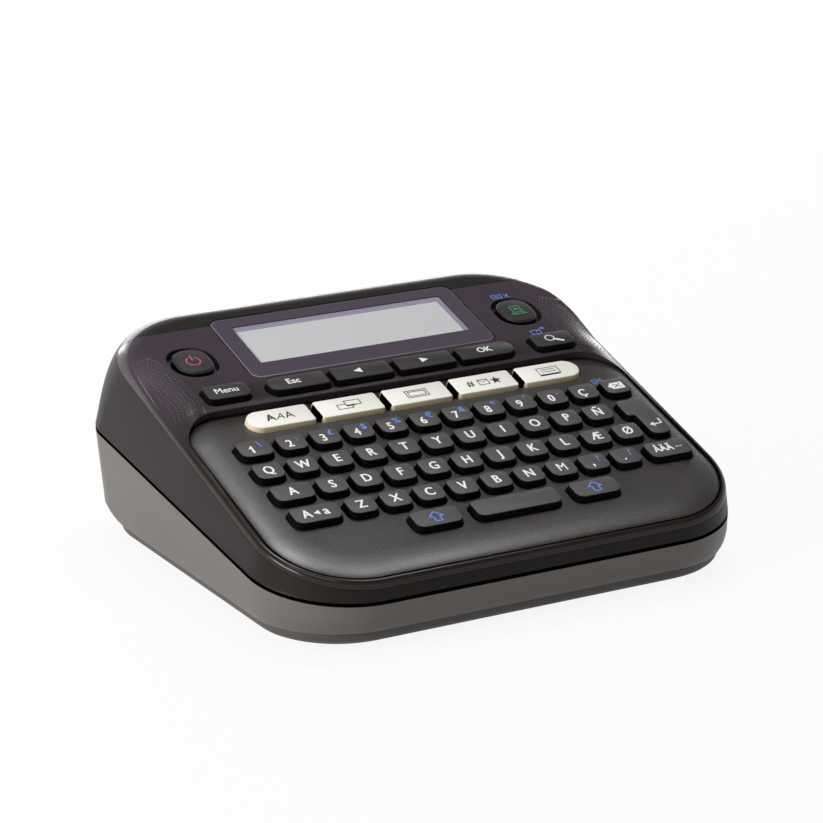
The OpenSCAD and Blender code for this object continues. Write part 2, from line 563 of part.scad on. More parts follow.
module panel_key(k, rise) color(DARK) on_panel() key(k, rise, PANEL_FLANGE_N, k[6] + 0.35);
module deck_caps(keys) color(DARK) on_deck() for (k = keys) key(k, key_rise, DECK_FLANGE_N, FLANGE);
module white_cap(i) color([0.93, 0.91, 0.85]) on_deck() key(white_key(i), WHITE_RISE, DECK_FLANGE_N, FLANGE);
DARK = [0.15, 0.15, 0.16];

module power_key() panel_key(POWER, ROUND_RISE);
module print_key() panel_key(PRINT, ROUND_RISE);
module menu_key() panel_key(MENU, NAV_RISE);
module preview_key() panel_key(PREVIEW, NAV_RISE);
module escape_key() panel_key(nav_key(0), NAV_RISE);
module cursor_left_key() panel_key(nav_key(1), NAV_RISE);
module cursor_right_key() panel_key(nav_key(2), NAV_RISE);
module ok_key() panel_key(nav_key(3), NAV_RISE);
module text_style_key() white_cap(0);
module label_type_key() white_cap(1);
module frame_key() white_cap(2);
module symbol_key() white_cap(3);
module file_key() white_cap(4);
module backspace_key() deck_caps([BACKSPACE]);
module caps_key() deck_caps([CAPS]);
module accent_key() deck_caps([ACCENT]);
module shift_left_key() deck_caps([SHIFT_LEFT]);
module space_key() deck_caps([SPACE_BAR]);
module shift_right_key() deck_caps([SHIFT_RIGHT]);
module number_keys() deck_caps(NUMBER_ROW);
module upper_letter_keys() deck_caps(UPPER_ROW);
module home_letter_keys() deck_caps(HOME_ROW);
module lower_letter_keys() deck_caps(LOWER_ROW);
module enter_key() color(DARK) on_deck() {
    translate([0, 0, DECK_FLANGE_N]) linear_extrude(height = key_rise - DECK_FLANGE_N - CAP_EDGE) enter_shape(0);
    translate([0, 0, key_rise - CAP_EDGE - EPS]) linear_extrude(height = CAP_EDGE + EPS) enter_shape(-CAP_EDGE / 2);
    translate([0, 0, DECK_FLANGE_N]) linear_extrude(height = FLANGE_T) enter_shape(FLANGE);
}

// ---- Mats and boards --------------------------------------------------------
module board_outline() outline(PLATE_HW - 8.2, along_deck(PLATE_FRONT) + 10, along_deck(plate_rear) - 2, 18, 6);
module main_board() color([0.1, 0.35, 0.2]) on_deck() difference() {
    translate([0, 0, BOARD_N - BOARD_T]) linear_extrude(height = BOARD_T) board_outline();
    for (p = PLATE_POSTS) translate([p[0], p[1], -BIG / 2]) cylinder(r = BOARD_SCREW_R + 0.1, h = BIG);
}
BOARD_SCREW_R = 0.9;
module board_screws() color("silver") on_deck() for (p = PLATE_POSTS) translate([p[0], p[1], BOARD_N - BOARD_T - 1]) {
    cylinder(r = 1.8, h = 1);
    cylinder(r = BOARD_SCREW_R, h = BOARD_T + 3.5);
}
MAT_HW = PLATE_HW - 9.7;
module key_mat() color([0.75, 0.75, 0.72]) on_deck() {
    difference() {
        translate([0, 0, MAT_N - MAT_T]) linear_extrude(height = MAT_T)
            outline(MAT_HW, row_v(4) - 5, WHITE_V + 5.5, 6, 4);
        for (p = PLATE_POSTS) translate([p[0], p[1], -BIG / 2]) cylinder(r = POST_R + 0.3, h = BIG);
    }
    for (k = DECK_KEYS) translate([min(MAT_HW - 3, max(3 - MAT_HW, k[0])), k[1], MAT_N - EPS])
        cylinder(r1 = 3, r2 = 2.2, h = 1.2);
    translate([(ENTER_X[1] + ENTER_X[2]) / 2 - 3, row_v(1.5), MAT_N - EPS]) cylinder(r1 = 3, r2 = 2.2, h = 1.2);
}
module panel_board_outline() outline(PANEL_HW - 2.5, along_panel(plate_rear) + 4, along_panel(PANEL_REAR) - 6, 3, 7);
module display_board() color([0.1, 0.35, 0.2]) on_panel()
    translate([0, 0, PANEL_BOARD_N - BOARD_T]) linear_extrude(height = BOARD_T) panel_board_outline();
module panel_key_mat() color([0.75, 0.75, 0.72]) on_panel() {
    difference() {
        translate([0, 0, PANEL_BOARD_N]) linear_extrude(height = MAT_T) panel_board_outline();
        translate([0, 0, -20]) linear_extrude(height = 40) outline(MODULE_HW + 0.5, MODULE_V0 - 0.5, 80, 1, 1);
        for (p = PANEL_POSTS) translate([p[0], p[1], -BIG / 2]) cylinder(r = POST_R + 0.3, h = BIG);
    }
    for (k = PANEL_KEYS) translate([k[0], k[1], PANEL_MAT_N - EPS]) cylinder(r1 = 3, r2 = 2.2, h = 0.8);
}
MODULE_HW = LENS_HW - 4.4;
MODULE_V0 = lens_front + 3.9;
MODULE_V1 = LENS_REAR - 3.5;
module display_module() color([0.7, 0.72, 0.7]) on_panel() {
    translate([0, 0, PANEL_BOARD_N]) linear_extrude(height = -lens_t - 0.3 - PANEL_BOARD_N - 1.1)
        outline(MODULE_HW, MODULE_V0, MODULE_V1, 1, 1);
    translate([0, 0, -lens_t - 1.4 - EPS]) linear_extrude(height = 1.1)
        outline(MODULE_HW - 0.6, MODULE_V0 + 2, MODULE_V1 - 1, 0.5, 0.5);
}

// ---- Cover and feet -----------------------------------------------------------
TAB_T = 1.6;
TAB_GAP = 0.3;
GRIP_W = 26;
COVER_TABS = [[-40, 8.2 - REAR_Y, 8], [40, 8.2 - REAR_Y, 8], [22, REAR_Y - 6.6, 14]];
FEET = [for (sx = [-1, 1], y = [21 - REAR_Y, REAR_Y - 22]) [sx * (SIDE_X - 22), y]];
FOOT_R = 5;
module back_cover() color([0.27, 0.25, 0.24]) {
    difference() {
        loft([level_ring(7.4, foot_h, 6), level_ring(4.7, foot_h + 1.2, 8), level_ring(3.3, foot_h + 2.6, 9),
              level_ring(2.9, cover_h, 9.4)]);
        loft([level_ring(8.4, foot_h + 1.6, 5), level_ring(5.6, foot_h + 2.8, 7),
              level_ring(4.7, cover_h + 1, 7.6)]);
        for (f = FEET) translate([f[0], f[1], 0]) cylinder(r = FOOT_R + 0.1, h = foot_h + 0.6);
        // finger grip at the latch
        for (i = [0:4]) translate([COVER_TABS[2][0] - GRIP_W / 2, REAR_Y - 20 + i * 2, foot_h - 1])
            cube([GRIP_W, 1, 1.4]);
    }
    // tabs that locate the cover in the lower housing; the rear one is the latch
    for (t = COVER_TABS) translate([t[0] - t[2] / 2, t[1] - TAB_T / 2, foot_h + 1.5])
        cube([t[2], TAB_T, JOINT_Z + FLOOR_T - foot_h - 1.5]);
    // ribs that press on the cassette and on the cells
    for (x = [CASE_X0 + 26, CASE_X1 - 16]) translate([x, CASE_Y0 + 6, foot_h + 1.5])
        cube([1.6, CASE_Y1 - CASE_Y0 - 12, CASE_Z0 - 0.1 - foot_h - 1.5]);
    for (x = [cell_x(1), cell_x(4)]) translate([x - 0.8, CELL_Y - 18, foot_h + 1.5])
        cube([1.6, 36, CASE_Z0 - 0.1 - foot_h - 1.5]);
}
module feet() color([0.1, 0.1, 0.1]) for (f = FEET) translate([f[0], f[1], 0]) cylinder(r = FOOT_R, h = foot_h + 0.6);

module housing_screws() color("silver") for (b = BOSSES)
    translate([b[0], b[1], split(b[1]) - SCREW_GRIP - 1.8]) {
        cylinder(r = SCREW_HEAD_R, h = 1.8);
        cylinder(r = SCREW_R, h = SCREW_GRIP * 2);
    }

module dc_jack() color([0.1, 0.1, 0.1]) translate([JACK[0], REAR_Y - wall + 1.2, JACK[1]]) rotate([90, 0, 0]) {
    difference() {
        union() {
            cylinder(r = JACK_R, h = 4);
            translate([-4.5, -5, 2.2]) cube([9, 10, 6]);
        }
        translate([0, 0, -1]) cylinder(r = 2.8, h = 8);
    }
    cylinder(r = 0.9, h = 7.5);
}

// ---- Power ------------------------------------------------------------------
module batteries() color([0.55, 0.56, 0.6]) for (i = [0:CELLS - 1])
    translate([cell_x(i), CELL_Y - CELL_L / 2, CELL_Z]) rotate([-90, 0, 0]) {
        cylinder(r = CELL_R, h = CELL_L - 1);
        translate([0, 0, CELL_L - 1 - EPS]) cylinder(r = 1.9, h = 1 + EPS);
    }
module battery_contacts() color("silver") for (i = [0:CELLS - 1]) {
    for (end = [0, 1]) translate([cell_x(i) - 4.2, end == 0 ? BATT_Y0 + EPS : BATT_Y1 - 0.4, CASE_Z0])
        cube([8.4, 0.4 - EPS, 2 * CELL_R]);
    // coil spring at the flat end, as stacked turns
    for (t = [0:2]) translate([cell_x(i), BATT_Y0 + 0.7 + t * 0.75, CELL_Z]) rotate([90, 0, 0])
        rotate_extrude() translate([3.6 - t * 0.6, 0]) circle(r = 0.42, $fn = 16);
    translate([cell_x(i) - 1.2, BATT_Y1 - 2.4, CELL_Z - 1.2]) cube([2.4, 2.1, 2.4]);
}

// ---- Cassette ------------------------------------------------------------------
CASE_WALL = 1.2;
ROLL = [CASE_X1 - 27, (CASE_Y0 + CASE_Y1) / 2 + 1];
ROLL_R = (CASE_Y1 - CASE_Y0) / 2 - 6;
module case_shape(inset) difference() {
    translate([CASE_X0 + inset, CASE_Y0 + inset])
        square([CASE_X1 - CASE_X0 - 2 * inset, CASE_Y1 - CASE_Y0 - 2 * inset]);
    // open side that the print head swings in and the tape leaves by
    translate([CASE_X0 - 1, HEAD_PIVOT[1] - 4 - inset]) square([NOTCH_W + 1 + inset, BIG]);
}
NOTCH_W = 9;
module cassette_case() color([0.6, 0.6, 0.62]) difference() {
    translate([0, 0, CASE_Z0]) linear_extrude(height = CASE_Z1 - CASE_Z0) case_shape(0);
    translate([0, 0, CASE_Z0 + CASE_WALL]) linear_extrude(height = CASE_Z1 - CASE_Z0 - 2 * CASE_WALL)
        case_shape(CASE_WALL);
    translate([RIBBON[0], RIBBON[1], 0]) cylinder(r = 4.3, h = BIG / 2);
    translate([ROLL[0], ROLL[1], CASE_Z0 - 1]) linear_extrude(height = 4) translate([-12, -4]) square([24, 8]);
}
module tape_roll() color([0.9, 0.9, 0.88]) translate([ROLL[0], ROLL[1], CASE_Z0 + CASE_WALL + 0.15]) difference() {
    cylinder(r = ROLL_R, h = CASE_Z1 - CASE_Z0 - 2 * CASE_WALL - 0.3, $fn = 96);
    translate([0, 0, -1]) cylinder(r = 8, h = 30);
}
COG_R = 2.4;
SPOOL_H = 13.6;
module take_up_spool() color([0.2, 0.2, 0.2]) translate([RIBBON[0], RIBBON[1], CASE_Z0 + 0.3]) difference() {
    union() {
        cylinder(r = 4, h = SPOOL_H);
        for (z = [2, SPOOL_H - 3]) translate([0, 0, z]) cylinder(r = 5.2, h = 1);
    }
    translate([0, 0, -1]) cylinder(r = COG_R + 0.8, h = BIG / 4);
}

// ---- Tape drive -----------------------------------------------------------------
module platen_roller() color([0.12, 0.12, 0.12]) translate([PLATEN[0], PLATEN[1], TAPE_Z - tape_w / 2])
    difference() {
        cylinder(r = platen_r, h = tape_w);
        translate([0, 0, -1]) cylinder(r = shaft_r, h = tape_w + 2);
    }
module platen_shaft() color("silver") translate([PLATEN[0], PLATEN[1], JOINT_Z + 0.6])
    cylinder(r = shaft_r, h = plane_z(0) + GEAR_T - JOINT_Z - 0.6);
module bored_gear(teeth, z, bore, phase) translate([0, 0, z]) difference() {
    gear_teeth(teeth, GEAR_T, phase);
    translate([0, 0, -1]) cylinder(r = bore, h = GEAR_T + 2);
}
module platen_gear() color([0.85, 0.85, 0.8]) translate([PLATEN[0], PLATEN[1], 0])
    bored_gear(PLATEN_TEETH, plane_z(0), shaft_r, SECOND_DIR);
// Wheel and pinion moulded in one, from the lower plane up
module compound(low_teeth, low_phase, high_teeth, high_phase, plane) difference() {
    union() {
        translate([0, 0, plane_z(plane)]) gear_teeth(low_teeth, GEAR_T + GEAR_GAP + EPS, low_phase);
        translate([0, 0, plane_z(plane + 1)]) gear_teeth(high_teeth, GEAR_T, high_phase);
    }
    cylinder(r = AXLE_R + RUN_GAP, h = BIG / 2);
}
SECOND_PHASE = meshed(SECOND_DIR, PINION_TEETH);
module second_gear() color([0.85, 0.85, 0.8]) translate([SECOND[0], SECOND[1], 0])
    compound(PINION_TEETH, SECOND_PHASE, SECOND_TEETH, FIRST_DIR, 0);
module first_gear() color([0.85, 0.85, 0.8]) translate([FIRST[0], FIRST[1], 0])
    compound(PINION_TEETH, meshed(FIRST_DIR, PINION_TEETH), FIRST_TEETH, MOTOR_DIR, 1);
MOTOR_SHAFT_R = 0.75;
module motor_pinion() color([0.8, 0.7, 0.35]) translate([MOTOR[0], MOTOR[1], 0]) {
    translate([0, 0, plane_z(2)]) difference() {
        gear_teeth(MOTOR_TEETH, GEAR_T, meshed(MOTOR_DIR, MOTOR_TEETH));
        translate([0, 0, -1]) cylinder(r = MOTOR_SHAFT_R - EPS, h = GEAR_T + 2);
    }
    translate([0, 0, plane_z(2)]) cylinder(r = MOTOR_SHAFT_R, h = GEAR_T + GEAR_GAP + FRAME_T + 3);
}
MOTOR_R = 10;
MOTOR_H = 15;
module motor() color("silver") translate([MOTOR[0], MOTOR[1], FRAME_Z + FRAME_T]) difference() {
    union() {
        cylinder(r = MOTOR_R, h = MOTOR_H);
        translate([0, 0, MOTOR_H - EPS]) cylinder(r = 3, h = 1.5);
    }
    translate([0, 0, -1]) cylinder(r = MOTOR_SHAFT_R + RUN_GAP, h = 4.5);
}
RIBBON_PHASE_STEP = 360 / PINION_TEETH;
// The pinion's tooth nearest to the ribbon gear sets where the gap has to be
function nearest_tooth(phase, teeth, direction) =
    phase + round((direction - phase) * teeth / 360) * 360 / teeth - direction;
RIBBON_PHASE = RIBBON_DIR + 180 + 180 / RIBBON_TEETH
    - nearest_tooth(SECOND_PHASE, PINION_TEETH, RIBBON_DIR) * PINION_TEETH / RIBBON_TEETH;
module ribbon_drive() color([0.85, 0.85, 0.8]) translate([RIBBON[0], RIBBON[1], 0]) difference() {
    union() {
        translate([0, 0, plane_z(0)]) gear_teeth(RIBBON_TEETH, GEAR_T, RIBBON_PHASE);
        translate([0, 0, BAY_Z1 + 0.3]) cylinder(r = 2.95, h = plane_z(0) - BAY_Z1 - 0.3 + EPS);
        translate([0, 0, CASE_Z0 + 2]) cylinder(r = COG_R, h = plane_z(0) - CASE_Z0 - 2);
        for (a = [0:60:300]) rotate([0, 0, a]) translate([COG_R - 0.4, -0.35, CASE_Z0 + 2])
            cube([0.8, 0.7, CASE_Z1 - CASE_Z0 - 3]);
    }
    translate([0, 0, plane_z(0) - 1]) cylinder(r = AXLE_R + RUN_GAP, h = 20);
}
FRAME_POSTS = [[BAY_X0 + 4, CASE_Y1 - 4], [HEAD_FACE_X + 30.4, CASE_Y1 - 32], HEAD_PIVOT,
               [HEAD_FACE_X + 34.4, CASE_Y1 - 2]];
module mechanism_frame() color([0.7, 0.7, 0.72]) {
    difference() {
        translate([BAY_X0, CASE_Y1 - 44, FRAME_Z]) linear_extrude(height = FRAME_T) square([52, 45]);
        translate([MOTOR[0], MOTOR[1], 0]) cylinder(r = 3, h = BIG);
    }
    for (p = FRAME_POSTS) translate([p[0], p[1], CEILING_Z]) cylinder(r = 2.2, h = FRAME_Z - CEILING_Z + EPS);
    for (p = [SECOND, FIRST]) translate([p[0], p[1], CEILING_Z]) cylinder(r = AXLE_R, h = FRAME_Z - CEILING_Z + EPS);
    translate([RIBBON[0], RIBBON[1], plane_z(0) - 0.9]) cylinder(r = AXLE_R, h = FRAME_Z - plane_z(0) + 1);
    // pin that the print head arm swings on
    translate([HEAD_PIVOT[0], HEAD_PIVOT[1], CASE_Z0 + 0.2]) cylinder(r = PIN_R, h = CEILING_Z - CASE_Z0);
}

// ---- Print head on its swinging arm -------------------------------------------------
module head_arm() color([0.75, 0.75, 0.78]) difference() {
    union() {
        translate([HEAD_FACE_X + HEAD_T, HEAD_PIVOT[1], CASE_Z0 + 0.6])
            cube([ARM_T, 28, BAY_Z1 - CASE_Z0 - 1.2]);
        translate([HEAD_PIVOT[0], HEAD_PIVOT[1], CASE_Z0 + 0.6]) cylinder(r = 2.6, h = BAY_Z1 - CASE_Z0 - 1.2);
    }
    translate([HEAD_PIVOT[0], HEAD_PIVOT[1], 0]) cylinder(r = PIN_R + RUN_GAP, h = BIG / 4);
    // room for the coil spring
    translate([HEAD_PIVOT[0], HEAD_PIVOT[1], CASE_Z0 + 3.4]) difference() {
        cylinder(r = 3.6, h = 2.4);
        cylinder(r = 2.6, h = 2.4);
    }
}
module print_head() color([0.9, 0.88, 0.8]) translate([HEAD_FACE_X, PLATEN[1] - 6, TAPE_Z - tape_w / 2 - 0.5])
    cube([HEAD_T, 12, tape_w + 1]);
// Torsion spring round the pivot: a closed coil with one leg on the arm
module head_spring() color("silver") translate([HEAD_PIVOT[0], HEAD_PIVOT[1], 0]) {
    for (t = [0:2]) translate([0, 0, CASE_Z0 + 4 + t * 0.6])
        rotate_extrude() translate([3, 0]) circle(r = 0.34, $fn = 16);
    // leg that presses on the arm
    translate([3, 0, CASE_Z0 + 4.6]) rotate([-90, 0, 13.4]) cylinder(r = 0.34, h = 13);
}

// ---- Cutter ------------------------------------------------------------------------
module at_cutter(y) translate([CUT_PIVOT[0], y, CUT_PIVOT[1]]) rotate([90, 0, 0]) children();
EDGE_REST = 155.5;
module cutter_frame() color("silver") {
    difference() {
        translate([HEAD_FACE_X - 7.6, CUT_Y, JOINT_Z + FLOOR_T + 0.1]) cube([42, BLADE_T, 19.5]);
        translate([SLOT_X0, CUT_Y - 1, SLOT_Z0 + 0.3]) cube([SLOT_X1 - SLOT_X0, 3, SLOT_Z1 - SLOT_Z0]);
    }
    at_cutter(CUT_PIN_END) cylinder(r = CUT_PIN_R, h = CUT_PIN_END - CUT_Y - BLADE_T / 2);
    for (x = [HEAD_FACE_X - 5.6, HEAD_FACE_X + 30.4]) translate([x, BAY_Y1 + BAY_WALL, CASE_Z0 + 14])
        rotate([-90, 0, 0]) cylinder(r = 1.6, h = CUT_Y - BAY_Y1 - BAY_WALL + EPS);
}
CUT_PIN_R = 1.5;
CUT_PIN_END = REAR_Y - wall - 0.8;
module blade_shape() difference() {
    union() {
        polygon([polar([0, 0], 2.2, EDGE_REST), polar([0, 0], 32, EDGE_REST), polar([0, 0], 33, EDGE_REST - 9),
                 [1, CUT_BOSS_R - 0.4]]);
        circle(CUT_BOSS_R);
    }
    circle(CUT_PIN_R + RUN_GAP);
}
module moving_blade() color("silver") translate([0, CUT_Y + BLADE_T + 0.2, 0]) at_cutter(BLADE_T)
    linear_extrude(height = BLADE_T) blade_shape();
module cutter_lever() color([0.2, 0.2, 0.2]) translate([0, LEVER_Y, 0]) {
    at_cutter(LEVER_T) linear_extrude(height = LEVER_T) difference() {
        union() {
            circle(CUT_BOSS_R);
            polygon([[1, CUT_BOSS_R - 0.4], polar([0, 0], TAB_R + 2, TAB_REST - 3.5),
                     polar([0, 0], TAB_R + 2, TAB_REST + 1.5), polar([0, 0], 20, TAB_REST - 1),
                     [-2.2, -2.2], [0, 0]]);
        }
        circle(CUT_PIN_R + RUN_GAP);
    }
    at_cutter(TAB_END - LEVER_Y) rotate([0, 0, TAB_REST]) translate([TAB_R, 0, 0])
        cylinder(r = TAB_HALF, h = TAB_END - LEVER_Y - 1);
}

// ---- Parts shown ------------------------------------------------------------
lower_housing();
upper_housing();
face_frame();
keyboard_plate();
display_lens();
display_module();
display_board();
panel_key_mat();
main_board();
board_screws();
key_mat();
back_cover();
feet();
housing_screws();
dc_jack();
power_key();
print_key();
menu_key();
preview_key();
escape_key();
cursor_left_key();
cursor_right_key();
ok_key();
text_style_key();
label_type_key();
frame_key();
symbol_key();
file_key();
backspace_key();
enter_key();
caps_key();
accent_key();
shift_left_key();
space_key();
shift_right_key();
number_keys();
upper_letter_keys();
home_letter_keys();
lower_letter_keys();
mechanism_frame();
motor();
motor_pinion();
first_gear();
second_gear();
platen_gear();
platen_shaft();
platen_roller();
ribbon_drive();
print_head();
head_arm();
head_spring();
cutter_frame();
moving_blade();
cutter_lever();
battery_contacts();
batteries();
cassette_case();
tape_roll();
take_up_spool();
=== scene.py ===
"""Looks for the desktop label maker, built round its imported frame.

Pieces are drawn in millimetres and brought to metres as they are finished."""
import json
from math import asin, atan2, cos, hypot, pi, radians, sin, sqrt, tan
import bpy
import bmesh
from mathutils import Matrix, Vector


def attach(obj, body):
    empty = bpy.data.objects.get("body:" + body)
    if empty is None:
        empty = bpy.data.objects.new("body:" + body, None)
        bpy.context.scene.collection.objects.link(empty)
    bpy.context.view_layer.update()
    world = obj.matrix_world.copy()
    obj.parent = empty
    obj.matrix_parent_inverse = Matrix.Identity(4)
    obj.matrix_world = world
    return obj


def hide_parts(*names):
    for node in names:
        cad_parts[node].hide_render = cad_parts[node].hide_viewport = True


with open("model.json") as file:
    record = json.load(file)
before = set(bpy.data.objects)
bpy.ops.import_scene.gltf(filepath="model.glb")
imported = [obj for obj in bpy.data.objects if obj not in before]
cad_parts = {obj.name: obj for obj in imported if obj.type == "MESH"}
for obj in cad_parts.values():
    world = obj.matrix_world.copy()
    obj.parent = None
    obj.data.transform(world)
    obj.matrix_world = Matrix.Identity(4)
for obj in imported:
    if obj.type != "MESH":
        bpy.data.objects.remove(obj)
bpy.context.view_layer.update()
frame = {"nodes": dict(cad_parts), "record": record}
nodes = frame["nodes"]
MM = 0.001

# ---- Planes and sizes of the body, in millimetres ----
BODY_W, BODY_D = 157.0, 149.0
FRONT_R, REAR_R = 29.2, 16.0
SPLIT_Z, SPLIT_TILT = 24.75, 8.0
DECK_Z, DECK_TILT = 46.1, 17.75
PANEL_Z, PANEL_TILT = 48.1, 16.9
RIM_DROP = 1.1
PLATE_T = 1.6


def tilted(height, degrees):
    """Frame of a sloping plane: x across, y up the slope, z away from it."""
    return Matrix.Translation((0, 0, height)) @ Matrix.Rotation(radians(degrees), 4, "X")


DECK = tilted(DECK_Z, DECK_TILT)
PANEL = tilted(PANEL_Z, PANEL_TILT)


def along(y, degrees):
    """Distance up a slope that spans y on the level."""
    return y / cos(radians(degrees))


def level_y(v):
    """Level distance that v spans up the panel."""
    return v * cos(radians(PANEL_TILT))


# ---- Node groups shared by the finishes ----
def new_group(name, inputs, outputs):
    group = bpy.data.node_groups.new(name, "ShaderNodeTree")
    for label, kind, value in inputs:
        socket = group.interface.new_socket(name=label, in_out="INPUT", socket_type=kind)
        socket.default_value = value
    for label, kind in outputs:
        group.interface.new_socket(name=label, in_out="OUTPUT", socket_type=kind)
    return group, group.nodes.new("NodeGroupInput"), group.nodes.new("NodeGroupOutput")


def add(tree, kind, settings=None, inputs=None):
    """A node with its settings, and its inputs set to values or linked from sockets."""
    made = tree.nodes.new(kind)
    for key, value in (settings or {}).items():
        setattr(made, key, value)
    for key, value in (inputs or {}).items():
        if isinstance(value, bpy.types.NodeSocket):
            tree.links.new(value, made.inputs[key])
        else:
            made.inputs[key].default_value = value
    return made


FLOAT, COLOUR = "NodeSocketFloat", "NodeSocketColor"


def moulded_grain():
    """Fine grain of a moulding: colour, roughness and height that vary over the surface."""
    group, given, out = new_group("Moulded Grain", [
        ("Colour", COLOUR, (0.1, 0.1, 0.1, 1)), ("Fleck Colour", COLOUR, (0.2, 0.2, 0.2, 1)),
        ("Grain Scale", FLOAT, 2500.0), ("Fleck", FLOAT, 0.3),
        ("Rough Low", FLOAT, 0.4), ("Rough High", FLOAT, 0.6)],
        [("Colour", COLOUR), ("Roughness", FLOAT), ("Height", FLOAT)])
    place = add(group, "ShaderNodeTexCoord").outputs["Object"]
    grain = add(group, "ShaderNodeTexNoise", {"noise_dimensions": "3D"},
                {"Vector": place, "Scale": given.outputs["Grain Scale"], "Detail": 2.0, "Roughness": 0.6})
    cloud = add(group, "ShaderNodeTexNoise", None, {"Vector": place, "Scale": 28.0, "Detail": 3.0})
    fleck = add(group, "ShaderNodeMapRange", None,
                {"Value": grain.outputs["Fac"], "From Min": 0.52, "From Max": 0.74})
    amount = add(group, "ShaderNodeMath", {"operation": "MULTIPLY"},
                 {0: fleck.outputs["Result"], 1: given.outputs["Fleck"]})
    mix = add(group, "ShaderNodeMix", {"data_type": "RGBA"},
              {0: amount.outputs[0], 6: given.outputs["Colour"], 7: given.outputs["Fleck Colour"]})
    rough = add(group, "ShaderNodeMapRange", None,
                {"Value": cloud.outputs["Fac"], "From Min": 0.3, "From Max": 0.7,
                 "To Min": given.outputs["Rough Low"], "To Max": given.outputs["Rough High"]})
    group.links.new(mix.outputs[2], out.inputs["Colour"])
    group.links.new(rough.outputs["Result"], out.inputs["Roughness"])
    group.links.new(grain.outputs["Fac"], out.inputs["Height"])
    return group


def handling_marks():
    """Faint smears and dust that change the roughness of a polished surface."""
    group, given, out = new_group("Handling Marks", [
        ("Rough Low", FLOAT, 0.1), ("Rough High", FLOAT, 0.2), ("Size", FLOAT, 45.0)],
        [("Roughness", FLOAT), ("Height", FLOAT)])
    place = add(group, "ShaderNodeTexCoord").outputs["Object"]
    smear = add(group, "ShaderNodeTexNoise", None,
                {"Vector": place, "Scale": given.outputs["Size"], "Detail": 5.0, "Roughness": 0.65, "Distortion": 0.6})
    rough = add(group, "ShaderNodeMapRange", None,
                {"Value": smear.outputs["Fac"], "From Min": 0.35, "From Max": 0.7,
                 "To Min": given.outputs["Rough Low"], "To Max": given.outputs["Rough High"]})
    group.links.new(rough.outputs["Result"], out.inputs["Roughness"])
    group.links.new(smear.outputs["Fac"], out.inputs["Height"])
    return group


GRAIN, GRAIN_DEPTH = moulded_grain(), 0.00005
MARKS, MARKS_DEPTH = handling_marks(), 0.0001


def srgb(colour):
    """Linear values of a colour as it looks on a screen."""
    return [((c / 255 + 0.055) / 1.055) ** 2.4 if c > 10 else c / 255 / 12.92 for c in colour]


def principled(name):
    made = bpy.data.materials.new(name)
    made.use_nodes = True
    return made, made.node_tree, made.node_tree.nodes["Principled BSDF"]


def surfaced(tree, shader, group, bump, depth, specular):
    """Roughness and fine relief from a finish group, and how strongly the plain surface reflects."""
    raised = add(tree, "ShaderNodeBump", None,
                 {"Strength": bump, "Distance": depth, "Height": group.outputs["Height"]})
    tree.links.new(group.outputs["Roughness"], shader.inputs["Roughness"])
    tree.links.new(raised.outputs["Normal"], shader.inputs["Normal"])
    shader.inputs["Specular IOR Level"].default_value = specular


def moulded(name, colour, rough, fleck=None, amount=0.3, scale=2500.0, bump=0.15, specular=0.5):
    """Injection-moulded plastic or rubber with a fine grain."""
    made, tree, shader = principled(name)
    base = srgb(colour)
    flecks = srgb(fleck) if fleck else [c * 1.25 for c in base]
    grain = add(tree, "ShaderNodeGroup", {"node_tree": GRAIN}, {
        "Colour": (*base, 1), "Fleck Colour": (*flecks, 1), "Grain Scale": scale, "Fleck": amount,
        "Rough Low": rough[0], "Rough High": rough[1]})
    tree.links.new(grain.outputs["Colour"], shader.inputs["Base Color"])
    surfaced(tree, shader, grain, bump, GRAIN_DEPTH, specular)
    return made


def polished(name, colour, rough, bump=0.02, size=45.0, metallic=0.0, specular=0.5, coat=0.0):
    """Polished plastic, glaze or metal with faint handling marks."""
    made, tree, shader = principled(name)
    marks = add(tree, "ShaderNodeGroup", {"node_tree": MARKS},
                {"Rough Low": rough[0], "Rough High": rough[1], "Size": size})
    shader.inputs["Base Color"].default_value = (*srgb(colour), 1)
    shader.inputs["Metallic"].default_value = metallic
    shader.inputs["Coat Weight"].default_value = coat
    surfaced(tree, shader, marks, bump, MARKS_DEPTH, specular)
    return made


